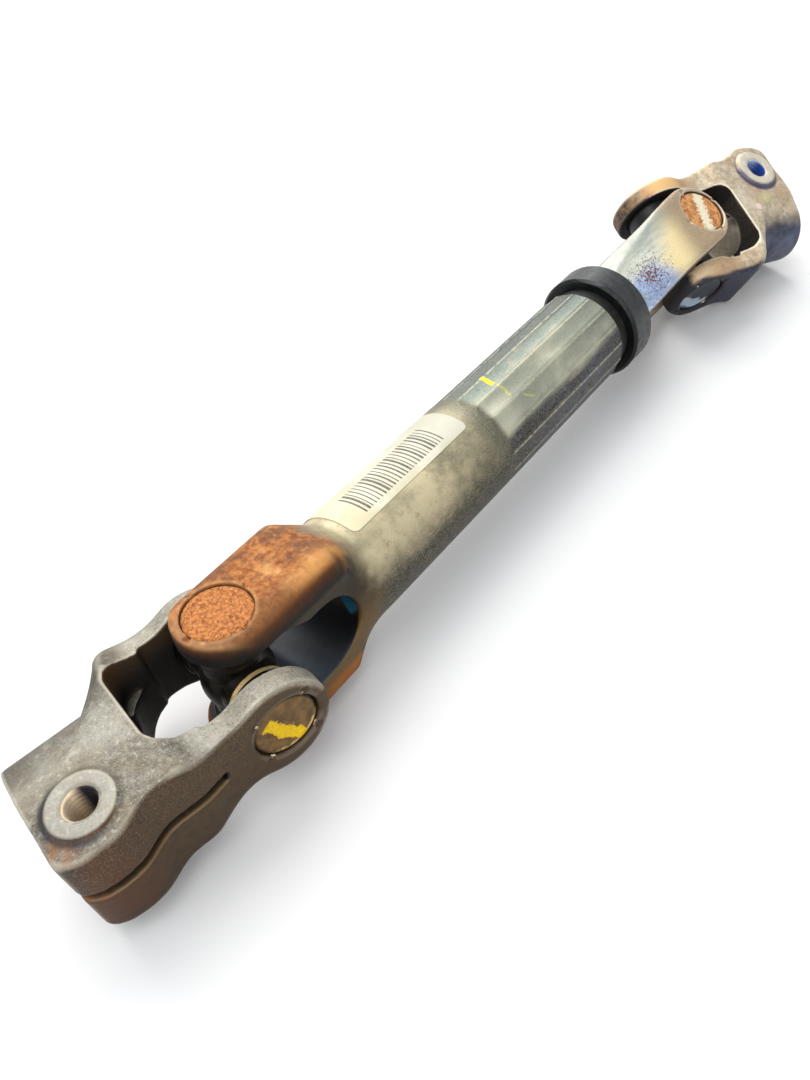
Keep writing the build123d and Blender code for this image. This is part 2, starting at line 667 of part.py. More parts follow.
# Upper joint
bearing_cup("upper_fork_cup_top", fork_frame * EAR_UP, FORK_CUP_FACE)
bearing_cup("upper_fork_cup_bottom", fork_frame * EAR_DOWN, FORK_CUP_FACE)
bearing_cup("upper_clamp_cup_front", upper_clamp_frame * EAR_RIGHT, CLAMP_CUP_FACE)
bearing_cup("upper_clamp_cup_back", upper_clamp_frame * EAR_LEFT, CLAMP_CUP_FACE)
needle_rollers("upper_fork_rollers", fork_frame, (EAR_UP, EAR_DOWN), FORK_CUP_FACE)
needle_rollers("upper_clamp_rollers", upper_clamp_frame, (EAR_LEFT, EAR_RIGHT), CLAMP_CUP_FACE)
cross("upper_cross", upper_cross_frame, FORK_CUP_FACE, CLAMP_CUP_FACE)
cross_seals("upper_cross_seals", upper_cross_frame)
thrust_pads("upper_thrust_pads", upper_cross_frame, FORK_CUP_FACE, CLAMP_CUP_FACE)
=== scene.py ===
from math import cos, pi, radians, sin

import bmesh
import bpy
import numpy as np
from mathutils import Matrix, Vector, noise


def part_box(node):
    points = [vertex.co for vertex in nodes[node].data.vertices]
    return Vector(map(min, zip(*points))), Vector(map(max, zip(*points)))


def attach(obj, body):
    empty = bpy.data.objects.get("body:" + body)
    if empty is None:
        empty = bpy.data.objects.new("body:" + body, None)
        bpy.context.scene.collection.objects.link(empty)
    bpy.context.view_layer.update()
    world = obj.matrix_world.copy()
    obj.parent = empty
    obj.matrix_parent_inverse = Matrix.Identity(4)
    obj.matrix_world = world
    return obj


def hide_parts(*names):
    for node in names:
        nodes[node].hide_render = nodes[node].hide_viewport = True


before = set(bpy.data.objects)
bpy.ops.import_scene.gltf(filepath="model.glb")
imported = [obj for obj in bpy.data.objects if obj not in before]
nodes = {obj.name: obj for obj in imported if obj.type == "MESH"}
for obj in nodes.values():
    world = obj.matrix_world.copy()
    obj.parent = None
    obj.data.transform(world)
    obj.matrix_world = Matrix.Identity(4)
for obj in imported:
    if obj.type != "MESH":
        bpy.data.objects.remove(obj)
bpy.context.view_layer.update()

# Outer tube with its fork: one steel forging with soft edges, orange rust on its fork, a
# smooth olive length and a darker one with sixteen pressed flutes, both painted lighter on top
# and in dark shade underneath. Value and Shade write shader nodes as Python sums, and
# forged_skin makes the other forgings too.
millimetre = 0.001


class Value:
    """A shader socket that adds, multiplies and compares like a number."""

    def __init__(self, shade, socket):
        self.shade, self.socket = shade, socket

    def maths(self, operation, *values):
        return self.shade.node("Math", {"operation": operation}, dict(enumerate(values)))

    def __add__(self, other):
        return self.maths("ADD", self, other)

    def __sub__(self, other):
        return self.maths("SUBTRACT", self, other)

    def __rsub__(self, other):
        return self.maths("SUBTRACT", other, self)

    def __mul__(self, other):
        return self.maths("MULTIPLY", self, other)

    def __truediv__(self, other):
        return self.maths("DIVIDE", self, other)

    def __pow__(self, other):
        return self.maths("POWER", self, other)

    def __abs__(self):
        return self.maths("ABSOLUTE", self)

    __radd__, __rmul__ = __add__, __mul__

    def rise(self, low, high):
        """0 below low, 1 above high, smooth between; falls when low is above high."""
        settings = {"interpolation_type": "SMOOTHSTEP"}
        return self.shade.node("MapRange", settings, {0: self, 1: low, 2: high})


class Shade:
    """One node material, with coordinates in millimetres of a frame of its own."""

    def __init__(self, name, place=Matrix.Identity(4)):
        self.material = bpy.data.materials.new(name)
        self.material.use_nodes = True
        self.tree = self.material.node_tree
        self.shader = self.tree.nodes["Principled BSDF"]
        values = {0: self.node("TexCoord", {}, {}, "Object"), 1: place.to_translation()}
        values |= {2: place.to_euler(), 3: (millimetre,) * 3}
        self.point = self.node("Mapping", {"vector_type": "TEXTURE"}, values)
        parts = (self.node("SeparateXYZ", {}, {0: self.point}, axis) for axis in "XYZ")
        self.x, self.y, self.z = parts

    def node(self, kind, settings, values, output=0):
        made = self.tree.nodes.new("ShaderNode" + kind)
        for key, setting in settings.items():
            setattr(made, key, setting)
        for key, value in values.items():
            if isinstance(value, Value):
                self.tree.links.new(value.socket, made.inputs[key])
            else:
                made.inputs[key].default_value = value
        return Value(self, made.outputs[output])

    def kept(self, name, output):
        """A value stored in the mesh: output 2 reads a number, output 1 a vector."""
        return self.node("Attribute", {"attribute_name": name}, {}, output)

    def lean(self, axis):
        """How far the forged skin faces along a local axis, from -1 to 1."""
        return self.node("SeparateXYZ", {}, {0: self.kept("lean", 1)}, axis)

    def noise(self, scale, detail=3.0, rough=0.55, stretch=(1.0, 1.0, 1.0), shift=(0.0, 0.0, 0.0)):
        """Noise of about 0.3 to 0.7, scale in cells per millimetre."""
        point = self.node("Mapping", {}, {0: self.point, 1: shift, 3: stretch})
        values = {"Vector": point, "Scale": scale, "Detail": detail, "Roughness": rough}
        return self.node("TexNoise", {}, values)

    def mix(self, factor, low, high):
        """The colour low where factor is 0 and high where it is 1."""
        settings = {"data_type": "RGBA", "clamp_factor": True}
        low, high = (srgb(c) if isinstance(c, tuple) else c for c in (low, high))
        return self.node("Mix", settings, {0: factor, 6: low, 7: high}, 2)

    def finish(self, colour, roughness, metallic, bump=None, height=0.05, **plain):
        """Set the surface; height is the depth of the bump in millimetres."""
        varying = {"Base Color": colour, "Roughness": roughness, "Metallic": metallic}
        if bump is not None:
            settings = {"Strength": 1.0, "Distance": height / 1000, "Height": bump}
            varying["Normal"] = self.node("Bump", {}, settings)
        for key, value in varying.items():
            if isinstance(value, Value):
                self.tree.links.new(value.socket, self.shader.inputs[key])
            else:
                self.shader.inputs[key].default_value = value
        for key, value in plain.items():
            self.shader.inputs[key.replace("_", " ")].default_value = value
        return self.material


def srgb(colour):
    """A colour of 0 to 255 as linear RGBA."""
    full, gamma = 255, 2.2
    return tuple((c / full) ** gamma for c in colour) + (1.0,)


def distance(a, b):
    """How far a point lies from where both coordinates are 0."""
    return (a * a + b * b) ** 0.5


def angle_round(y, z):
    """The angle round the tube in degrees: 0 towards local +Y, 90 on top."""
    return y.maths("ARCTAN2", z, y) * (180 / pi)


def dress(name, material):
    """Give a carried-over node its material."""
    nodes[name].data.materials.clear()
    nodes[name].data.materials.append(material)


def turned(axis, degrees):
    """A rotation about one axis of the frame that it is put after."""
    return Matrix.Rotation(radians(degrees), 4, axis)


def linked(name, data):
    made = bpy.data.objects.new(name, data)
    bpy.context.collection.objects.link(made)
    return made


def rows_of(items, key, width, kind=float):
    """One property of all vertices or edges of a mesh, as rows of numbers."""
    values = np.empty(len(items) * width, kind)
    items.foreach_get(key, values)
    return values.reshape(-1, width)


def cut_off(part, level, side):
    """Cut a solid square to local x at level, in millimetres, and close it there."""
    everything = part.verts[:] + part.edges[:] + part.faces[:]
    plane = {"plane_co": (level / 1000, 0, 0), "plane_no": (1, 0, 0), side: True}
    bmesh.ops.bisect_plane(part, geom=everything, **plane)
    rim = [edge for edge in part.edges if edge.is_boundary]
    bmesh.ops.triangle_fill(part, edges=rim, use_beauty=True, use_dissolve=False)
    bmesh.ops.recalc_face_normals(part, faces=part.faces)


def remeshed(name, shell, voxel):
    """The same solid in even faces, voxel millimetres wide."""
    solid = bpy.data.meshes.new(name)
    shell.to_mesh(solid)
    source = linked(name, solid)
    remesh = source.modifiers.new("skin", "REMESH")
    remesh.mode, remesh.voxel_size = "VOXEL", voxel / 1000
    state = bpy.context.evaluated_depsgraph_get()
    mesh = bpy.data.meshes.new_from_object(source.evaluated_get(state))
    bpy.data.objects.remove(source)
    return mesh


def forged_skin(name, node, place, pins, voxel, pit, flow, cut=None):
    """A forged copy of a node: remeshed, its edges run soft and its skin pitted inward.

    pins are the two local axes square to the bearing cups, round which it stays sharp. Past
    cut, in millimetres along local x, the solid is kept. The mesh carries its lean and how far
    it bends, which the shaders paint as edge wear with painted sheen and as painted shade in
    creases.
    """
    sharp_reach, sharp_fade, sharp_share = 8.6, 1.4, 0.12
    overlap, seam_gap, seam_fade, beyond = 1.0, 2.0, 5.0, 1000.0
    flow_share, full_bend, bend_blur, crease = 0.6, 0.00006, 3, 14
    pits_per_metre, waves_per_metre = 900.0, 160.0
    shell = bmesh.new()
    shell.from_mesh(nodes[node].data)
    shell.transform(place.inverted() @ nodes[node].matrix_world)
    bmesh.ops.remove_doubles(shell, verts=shell.verts, dist=1e-6)
    kept = shell.copy() if cut else None
    if kept:
        cut_off(shell, cut, "clear_outer")
        cut_off(kept, cut - overlap, "clear_inner")
    mesh = remeshed(name + "_solid", shell, voxel)
    points = rows_of(mesh.vertices, "co", 3)
    count = len(points)
    ends = rows_of(mesh.edges, "vertices", 2, int)
    first, second = ends.T
    tally = np.bincount(ends.ravel(), minlength=count)

    def spread(values):
        """The mean of each point's neighbours."""
        pairs = ((first, values[second]), (second, values[first]))
        return sum(np.bincount(here, given, count) for here, given in pairs) / tally

    def spread_all(rows):
        return np.stack([spread(row) for row in rows.T], 1)

    reach = np.hypot(points[:, pins[0]], points[:, pins[1]]) * 1000
    seam = ((cut or beyond) - seam_gap - points[:, 0] * 1000) / seam_fade
    seam = np.clip(seam, 0.0, 1.0)
    loose = np.clip((reach - sharp_reach) / sharp_fade, sharp_share, 1.0) * seam
    loose = loose[:, None] * flow_share
    for step in range(flow):
        points = points + loose * (spread_all(points) - points)
    mesh.vertices.foreach_set("co", points.ravel())
    mesh.update()
    normals = rows_of(mesh.vertices, "normal", 3)
    bend = ((spread_all(points) - points) * normals).sum(1)
    for step in range(bend_blur):
        bend = spread(bend)
    # How far the skin bends: convex edges are painted pale as wear with painted sheen, concave
    # creases dark as painted shade.
    wear_and_painted_light = np.clip(-bend / (voxel * full_bend), -1.0, 1.0)
    pits = [noise.fractal(Vector(p) * pits_per_metre, 0.8, 2.2, 3) for p in points]
    waves = [noise.noise(Vector(p) * waves_per_metre) for p in points]
    depth = 0.55 + 0.45 * np.clip(np.array(pits), -1.0, 1.0)
    depth = depth + 0.6 * (0.5 + 0.5 * np.array(waves))
    points = points - normals * (pit / 1000 * depth * seam)[:, None]
    mesh.vertices.foreach_set("co", points.ravel())
    if kept:
        shell.clear()
        shell.from_mesh(mesh)
        rest = bpy.data.meshes.new(name + "_rest")
        kept.to_mesh(rest)
        kept.free()
        shell.from_mesh(rest)
        bpy.data.meshes.remove(rest)
        shell.to_mesh(mesh)
    shell.free()
    mesh.update()
    wear_and_painted_light = np.append(wear_and_painted_light, np.zeros(len(mesh.vertices) - count))
    lean = rows_of(mesh.vertices, "normal", 3).ravel()
    mesh.attributes.new("wear_and_painted_light", "FLOAT", "POINT").data.foreach_set("value", wear_and_painted_light)
    mesh.attributes.new("lean", "FLOAT_VECTOR", "POINT").data.foreach_set("vector", lean)
    mesh.transform(place)
    mesh.polygons.foreach_set("use_smooth", [True] * len(mesh.polygons))
    if kept:
        mesh.set_sharp_from_angle(angle=radians(crease))
    mesh.materials.clear()
    return linked(name, mesh)


tube_place = Matrix.Translation((0.03637, -0.009169, 0.003268))
shade = Shade("olive_tube_steel", tube_place)
x, y, z = shade.x, shade.y, shade.z
lean_z, wear_and_painted_light = shade.lean("Z"), shade.kept("wear_and_painted_light", 2)
angle = angle_round(y, z)
cloud, mottle, grain = shade.noise(0.05), shade.noise(0.4, 4.0), shade.noise(2.4, 3.0, 0.65)
# Painted light: the tube is painted lighter on top and dark grey underneath.
up = z - y * 0.25 + cloud * 4.0
tube_top = shade.mix(cloud.rise(0.35, 0.65), (150, 143, 117), (214, 200, 162))
tube_top = shade.mix((x + cloud * 10.0).rise(84.0, 95.0) * 0.8, tube_top, (76, 80, 74))
smoke = shade.noise(0.11, 5.0, 0.65, shift=(5.0, 5.0, 2.0)).rise(0.46, 0.7)
tube_top = shade.mix(smoke * 0.6, tube_top, (98, 96, 78))
tube_underside_shade = shade.mix(up.rise(-12.0, 2.0), (50, 53, 57), (32, 32, 28))
tube = shade.mix((up + mottle * 3.0).rise(8.0, 17.5), tube_underside_shade, tube_top)
panel = shade.mix(cloud.rise(0.35, 0.65), (150, 155, 140), (204, 202, 178))
faded = shade.noise(0.15, 4.0, 0.6, (0.4, 1.0, 1.0), (2.0, 6.0, 1.0)).rise(0.42, 0.66)
panel = shade.mix(faded * 0.45, panel, (116, 126, 118))
panel = shade.mix(angle.rise(108.0, 88.0) * 0.7, panel, (94, 112, 112))
panel = shade.mix((x + cloud * 16.0).rise(138.0, 156.0) * 0.3, panel, (92, 102, 104))
panel = shade.mix(x.rise(106.0, 94.0) * angle.rise(100.0, 116.0) * 0.5, panel, (222, 218, 196))
# Painted shade: the fluted length is painted dark slate underneath.
bloom = shade.noise(0.05, 3.0, 0.5, shift=(1.0, 2.0, 3.0)).rise(0.3, 0.7)
flute_underside_shade = shade.mix(bloom, (26, 30, 40), (52, 60, 80))
flutes_from, crest_low, crest_high = 90.5, 14.34, 14.48
fluted = (x - flutes_from).rise(0.0, 2.5)
tube = shade.mix(fluted, tube, shade.mix(up.rise(10.5, 13.5), flute_underside_shade, panel))
tube = shade.mix(fluted * angle.rise(84.0, 79.0) * angle.rise(0.0, 10.0) * 0.6, tube, (58, 66, 70))
crest = distance(y, z).rise(crest_low, crest_high)
ridge = fluted * crest * shade.noise(0.7, 4.0).rise(0.3, 0.6)
tube = shade.mix(ridge * 0.75, tube, (190, 188, 162))
tube = shade.mix(grain.rise(0.35, 0.7) * 0.25, tube, (200, 192, 162))
tube = shade.mix(grain.rise(0.5, 0.2) * 0.3, tube, (60, 58, 48))
scuff = shade.noise(0.3, 5.0, 0.7, (0.25, 1.0, 1.0)).rise(0.56, 0.72)
tube = shade.mix(scuff * 0.35, tube, (198, 184, 148))
stain = shade.noise(0.5, 5.0, 0.75, shift=(1.0, 8.0, 4.0)).rise(0.58, 0.7) * x.rise(84.0, 60.0)
tube = shade.mix(stain * 0.5, tube, (150, 118, 72))
orange = shade.mix(shade.noise(0.6, 5.0, 0.7).rise(0.34, 0.66), (124, 70, 32), (182, 116, 60))
patch = shade.noise(0.13, 4.0, 0.6, shift=(3.0, 9.0, 5.0)) + (x - y - 4.0).rise(10.0, -10.0) * 0.08
orange = shade.mix(patch.rise(0.46, 0.66) * 0.65, orange, (98, 66, 48))
flaked = shade.noise(0.25, 4.0, 0.65, shift=(8.0, 1.0, 5.0)).rise(0.52, 0.7)
orange = shade.mix(flaked * 0.7, orange, (204, 146, 92))
# Painted highlight: a pale gold spot in the middle of the ear's top.
highlight_reach = distance(x - 15.0, y + 1.0)
orange = shade.mix((highlight_reach + mottle * 9.0).rise(8.0, 4.5) * 0.6, orange, (232, 176, 106))
near_side = shade.mix(x.rise(10.0, 19.0), (104, 70, 40), (206, 150, 86))
orange = shade.mix((0.0 - y + mottle * 5.0).rise(6.0, 12.0) * 0.65, orange, near_side)
foot = (z + mottle * 4.0).rise(-7.0, -11.0) * mottle.rise(0.35, 0.6)
orange = shade.mix(foot * 0.7, orange, (190, 102, 48))
# Painted shade: the ear's side faces go from rust-brown to near black at their lower edge.
side = lean_z.rise(0.92, 0.45) * z.rise(0.0, 4.0) * x.rise(30.0, 26.0)
flank_height = z + mottle * 3.0 - x.rise(2.0, -6.0) * 2.0
flank = shade.mix(flank_height.rise(15.5, 21.5), (12, 10, 8), (112, 68, 34))
orange = shade.mix(side, orange, flank)
rust = (x + shade.noise(0.16, 5.0, 0.65) * 16.0).rise(41.0, 34.0) * abs(z).rise(11.5, 14.5)
ear = shade.mix(rust, shade.mix(x.rise(38.0, 28.0), tube, (120, 106, 78)), orange)
# Painted shade: the fork's front cheeks are painted dark brown, near black up under the ears.
cheek = (x + mottle * 8.0).rise(42.0, 33.0) * (0.0 - y).rise(4.0, 8.0) * lean_z.rise(0.75, 0.3)
cheek_shade = shade.mix(z.rise(-6.0, 8.0), (104, 82, 50), (34, 27, 18))
ear = shade.mix(cheek * (1.0 - rust * 0.6) * 0.9, ear, cheek_shade)
# Painted shade: the slot's hollow is grey-blue by its mouth, black deeper in, grey low down.
hollow = abs(z).rise(14.2, 13.4) * abs(y).rise(11.7, 11.0) * x.rise(29.6, 28.0)
grey_blue = shade.mix((x + y * 0.5).rise(8.0, 20.0), (84, 98, 110), (12, 12, 16))
grey_blue = shade.mix(z.rise(-4.0, -12.0) * 0.6, grey_blue, (56, 58, 62))
teal = distance(x - 27.5, z - 1.5) - abs(y + 9.0).rise(4.0, 0.0) * 4.0
grey_blue = shade.mix(teal.rise(0.5, -1.0), grey_blue, (24, 96, 124))
colour = shade.mix(hollow, ear, grey_blue)
# Rubbed edges with painted sheen: the convex edges on top of the ear are painted pale.
rubbed_and_sheen = wear_and_painted_light.rise(0.3, 1.0) * 0.22 * (1.0 - hollow) * z.rise(14.0, 18.0)
colour = shade.mix(rubbed_and_sheen, colour, (214, 172, 118))
slant = abs(x - 102.6 + (angle - 77.0) * 0.038 + (mottle - 0.5) * 1.2).rise(0.85, 0.65)
brushed = angle + mottle * 4.0
dash = slant * brushed.rise(78.5, 79.5) * brushed.rise(98.5, 97.5)
colour = shade.mix(dash, colour, (228, 222, 44))
faint = abs(x - 102.0 + (mottle - 0.5) * 2.0).rise(0.5, 0.25)
faint = faint * angle.rise(99.0, 101.0) * angle.rise(120.0, 118.0)
hook = abs(x - 105.0 - (angle - 128.0) * 0.3).rise(0.55, 0.25)
hook = hook * angle.rise(127.0, 129.0) * angle.rise(139.0, 137.0)
colour = shade.mix((faint + hook * 0.8) * grain.rise(0.3, 0.6), colour, (214, 210, 110))
bumps = grain * 0.5 + mottle * 0.4 + rust * shade.noise(1.3, 4.0, 0.7) * 1.6
roughness = 0.40 + mottle * 0.16 + rust * 0.24
metal = 0.45 - rust * 0.4
olive_steel = shade.finish(colour, roughness, metal, bumps, 0.1, Specular_IOR_Level=0.35)

tube_skin = forged_skin(
    "outer_tube_skin", "outer_tube_fork", tube_place,
    pins=(0, 1), voxel=0.42, pit=0.05, flow=14, cut=41.0,
)
tube_skin.data.materials.append(olive_steel)
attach(tube_skin, "outer_tube")
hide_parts("outer_tube_fork")


# Paper label: cream paper glued round the smooth tube, a little dirty at its edges, with a
# block of plain uneven bars printed across it. Nothing on it can be read.
shade = Shade("cream_label", tube_place)
x, y, z = shade.x, shade.y, shade.z
angle = angle_round(y, z)
paper = shade.mix(shade.noise(0.12).rise(0.4, 0.6), (200, 194, 168), (214, 208, 186))
dirt = shade.noise(0.3, 5.0, 0.7, shift=(2.0, 4.0, 1.0)).rise(0.55, 0.75)
paper = shade.mix(dirt * 0.45, paper, (166, 154, 120))
paper = shade.mix((x - 52.0).rise(0.0, -14.0) * 0.4, paper, (206, 194, 140))
paper = shade.mix(x.rise(58.0, 84.0) * 0.7, paper, (182, 180, 165))
bar_pitch = 1.24
cell = x / bar_pitch
number = cell.maths("FLOOR", cell)
share = shade.node("TexWhiteNoise", {"noise_dimensions": "1D"}, {"W": number})
gone = shade.node("TexWhiteNoise", {"noise_dimensions": "1D"}, {"W": number + 0.5})
bar = (cell.maths("FRACT", cell) - share * 0.45 - 0.22).rise(0.04, -0.04) * gone.rise(0.06, 0.08)
block_start, block_end = 44.4, 76.9
block = (x - block_start).rise(0.0, 0.1) * (x - block_end).rise(0.0, -0.1)
block = block * angle.rise(67.8, 68.2) * angle.rise(104.2, 103.8)
printed = block * bar * (shade.noise(1.5) * 0.6 + 0.6)
colour = shade.mix(printed, paper, (72, 70, 64))
dress("tube_label", shade.finish(colour, 0.55 + dirt * 0.2, 0.0, shade.noise(1.2), 0.03))


# End ring and its two seals: a dark oiled steel ring pressed into the tube's end, a black
# rubber seal in the groove behind it and a wiper in its bore that rubs on the sliding shaft.
# The ring is painted near black underneath as shade. The seals of the upper cross are of the
# same rubber.
ring_back, ring_front = 157.0, 164.6
shade = Shade("dark_ring_steel", tube_place)
x, y, z = shade.x, shade.y, shade.z
worn = shade.noise(0.5, 4.0, 0.65).rise(0.45, 0.65)
# Painted light: the ring is near black underneath and grey on top, with a pale painted highlight
# on the upper part of its front rim and painted shade in the recess behind.
colour = shade.mix((z - y * 0.4).rise(-2.0, 15.0), (8, 9, 12), (70, 73, 75))
colour = shade.mix(worn * 0.3 * z.rise(-4.0, 10.0), colour, (92, 86, 70))
rim = (x - ring_front).rise(0.0, 0.3) * z.rise(2.0, 12.0)
colour = shade.mix(rim * 0.7, colour, (196, 180, 146))
recess = (x - ring_back).rise(0.0, -0.8) * (1.0 - z.rise(15.4, 16.0))
colour = shade.mix(recess * 0.85, colour, (12, 13, 16))
dress("end_ring", shade.finish(colour, 0.34 + worn * 0.2, 0.6, shade.noise(1.4, 3.0), 0.06))

shade = Shade("black_rubber", tube_place)
dust = shade.noise(0.8, 4.0, 0.7).rise(0.5, 0.75)
colour = shade.mix(dust, (12, 12, 13), (46, 43, 38))
rubber = shade.finish(colour, 0.62 + dust * 0.25, 0.0, shade.noise(3.0), 0.04)
for name in ("groove_seal", "wiper_seal", "upper_cross_seals"):
    dress(name, rubber)


# Sliding shaft and its sleeve: a ground steel shaft with keyways, and a moulded nylon sleeve
# on it that runs in the tube. Pushed in, both are hidden.
shade = Shade("white_nylon", tube_place)
greased = shade.noise(0.4, 4.0).rise(0.45, 0.65)
colour = shade.mix(greased, (206, 200, 182), (176, 158, 112))
dress("slide_sleeve", shade.finish(colour, 0.42 + greased * 0.15, 0.0, shade.noise(2.0), 0.02))

shade = Shade("ground_steel", tube_place)
line = shade.noise(0.6, 3.0, 0.6, (6.0, 0.6, 0.6))
colour = shade.mix(line.rise(0.35, 0.65), (96, 92, 84), (158, 156, 148))
colour = shade.mix(shade.noise(0.5, 5.0, 0.7).rise(0.56, 0.7), colour, (110, 74, 42))
ground = shade.finish(colour, 0.26 + line * 0.3, 0.9, line, 0.02)
dress("sliding_shaft", ground)


# Needle rollers and crosses: the rollers are of the same ground steel and lie round the
# journals of two forged crosses, which are dark with grease.
shade = Shade("greased_steel", tube_place)
smear = shade.noise(0.5, 4.0, 0.6)
colour = shade.mix(smear.rise(0.35, 0.7), (14, 12, 10), (44, 36, 26))
greased_steel = shade.finish(colour, 0.3 + smear * 0.3, 0.3, smear, 0.1)
for joint in ("lower", "upper"):
    dress(joint + "_fork_rollers", ground)
    dress(joint + "_clamp_rollers", ground)
    dress(joint + "_cross", greased_steel)


# Upper fork: two long ears of machined steel on the sliding shaft, turned against the lower
# fork. It is bright by the ring, with a painted bluish reflection and brown specks, and goes
# over gold into tan; its +y side, its flanks and the insides of its ears are painted in shade.
cross_spacing, fork_turn = 0.2116, 31.8
fork_place = tube_place @ Matrix.Translation((cross_spacing, 0.0, 0.0)) @ turned("X", fork_turn)
shade = Shade("bright_fork_steel", fork_place)
x, y, z = shade.x, shade.y, shade.z
lean_z = shade.lean("Z")
wear_and_painted_light = shade.kept("wear_and_painted_light", 2)
brush = shade.noise(0.4, 4.0, 0.6, (0.25, 2.0, 2.0))
grain = shade.noise(2.4, 3.0, 0.7)
pale = shade.mix(brush.rise(0.3, 0.7), (194, 200, 186), (238, 240, 224))
gold = shade.mix(grain.rise(0.3, 0.7), (240, 212, 150), (254, 240, 190))
colour = shade.mix((x - y * 1.1 + brush * 8.0).rise(-30.0, -15.0), pale, gold)
# Painted reflection: pale blue low down by the ring.
blue = (x + y * 0.6 + brush * 6.0).rise(-27.0, -35.0) * y.rise(2.0, -3.0)
colour = shade.mix(blue * 0.9, colour, (156, 180, 224))
glint = shade.noise(0.7, 4.0, 0.7, (0.5, 1.5, 1.0), (4.0, 4.0, 4.0)).rise(0.56, 0.64)
colour = shade.mix(glint * x.rise(-26.0, -34.0) * 0.7, colour, (238, 238, 234))
# Painted shade: the +y side is painted greyer.
colour = shade.mix(y.rise(1.0, 9.0) * 0.65, colour, (136, 142, 134))
tan = (x - y * 0.35 + grain * 4.0).rise(-20.0, -9.0)
tanned = shade.mix(grain.rise(0.3, 0.7), (150, 128, 104), (184, 160, 132))
colour = shade.mix(tan * 0.9, colour, tanned)
along, across = x + 37.0, y + 3.0
cluster = (along * along * 0.6 + across * across) ** 0.5
speck = (shade.noise(1.5, 4.0, 0.75, shift=(3.0, 1.0, 2.0)) - cluster * 0.022).rise(0.43, 0.5)
colour = shade.mix(speck, colour, (104, 58, 40))
# Painted shade: the flanks are painted dark brown and the insides of the ears near black.
flank = lean_z.rise(0.75, 0.25)
brown = shade.mix(grain.rise(0.3, 0.7), (70, 54, 42), (128, 106, 84))
colour = shade.mix(flank, colour, brown)
inside = lean_z.rise(0.2, -0.2) * z.rise(0.0, 2.0)
colour = shade.mix(inside, colour, (30, 26, 22))
# Rubbed edges with painted sheen: convex edges are painted pale.
colour = shade.mix(wear_and_painted_light.rise(0.35, 1.0) * 0.6, colour, (214, 200, 180))
bumps = grain * 0.5 + brush * 0.4 - speck * 1.2
bright = shade.finish(colour, 0.32 + grain * 0.2 + speck * 0.3, 0.35 - speck * 0.3, bumps, 0.05)
fork_skin = forged_skin(
    "shaft_fork_skin", "shaft_fork", fork_place, pins=(0, 1), voxel=0.36, pit=0.03, flow=14
)
fork_skin.data.materials.append(bright)
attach(fork_skin, "inner_shaft")
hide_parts("shaft_fork")


# Clamp yokes: split steel forgings with a boss for the pinch bolt. The lower one is a grainy
# grey-beige on top with a smooth brown front that rusts towards its corner, the brown partly
# painted shade; the upper one is tan, with gold rust on its ears, a front painted navy and a
# barrel painted dark blue on its near side, as painted shade and reflection. Both are painted
# lighter in the middle of the top as lit, and dark as shade underneath, in creases and on the
# walls of the window between the ears.
lower_swing, lower_tilt = -14.15, -4.98
boss_x, boss_y = 40.8, 14.9
lower_line = tube_place @ turned("Z", lower_swing) @ turned("Y", lower_tilt)
lower_clamp_place = lower_line @ turned("Z", 180.0)


def window_wall(x, y, lean_z):
    """Where a clamp yoke's skin is a wall of the window between its ears."""
    return abs(y).rise(14.4, 14.1) * x.rise(24.7, 24.3) * abs(lean_z).rise(0.75, 0.5)


def boss_face(boss, lean_z):
    """The flat ring of a boss, from the distance to its middle."""
    return abs(boss - 5.6).rise(1.8, 0.9) * lean_z.rise(0.8, 0.95)


shade = Shade("lower_forging", lower_clamp_place)
x, y, z = shade.x, shade.y, shade.z
lean_y, lean_z, wear_and_painted_light = shade.lean("Y"), shade.lean("Z"), shade.kept("wear_and_painted_light", 2)
mottle, blotch = shade.noise(0.45, 4.0, 0.65), shade.noise(0.09, 3.0, 0.6)
grain = shade.noise(2.6, 3.0, 0.7)
skin = shade.mix(mottle.rise(0.3, 0.7), (84, 80, 70), (146, 141, 128))
skin = shade.mix(grain.rise(0.34, 0.66) * 0.45, skin, (80, 74, 62))
skin = shade.mix(grain.rise(0.56, 0.3) * 0.3, skin, (182, 178, 162))
skin = shade.mix(blotch.rise(0.42, 0.62) * 0.5, skin, (112, 98, 74))
# Painted light: the middle of the top is painted lighter, as lit.
light = (abs(y - 3.0) + blotch * 12.0).rise(15.0, 5.0) * x.rise(22.0, 27.0)
skin = shade.mix(light * 0.4, skin, (186, 183, 170))
strip = x.rise(20.0, 16.0) * (abs(y) - 12.0).rise(0.0, 2.0)
skin = shade.mix(strip * grain.rise(0.3, 0.6) * 0.5, skin, (196, 192, 178))
flat = lean_z.rise(0.3, 0.8)
chipped = shade.noise(0.7, 4.0, 0.75, shift=(9.0, 2.0, 4.0)).rise(0.54, 0.66) * flat
skin = shade.mix(chipped * 0.35, skin, (206, 202, 190))
# Painted shade: the top is painted darker towards its back side and its end.
back_side = (y - mottle * 4.0).rise(-4.0, -13.0) * x.rise(14.0, 26.0)
skin = shade.mix(back_side * 0.65, skin, (66, 60, 51))
barrel_end = (x + mottle * 6.0).rise(43.0, 51.0) * (y + mottle * 6.0).rise(8.0, 1.0)
skin = shade.mix(barrel_end * 0.6, skin, (78, 71, 59))
pores = shade.noise(1.1, 3.0, 0.8, shift=(6.0, 3.0, 1.0)).rise(0.56, 0.68) * flat
skin = shade.mix(pores * 0.5, skin, (66, 60, 50))
boss = distance(x - boss_x, y - boss_y)
skin = shade.mix(boss_face(boss, lean_z) * 0.4, skin, (190, 188, 178))
shadow = boss.rise(6.6, 7.4) * boss.rise(9.6, 8.0) * (x + y * 0.3).rise(43.0, 50.0)
skin = shade.mix(shadow * 0.8, skin, (34, 34, 44))
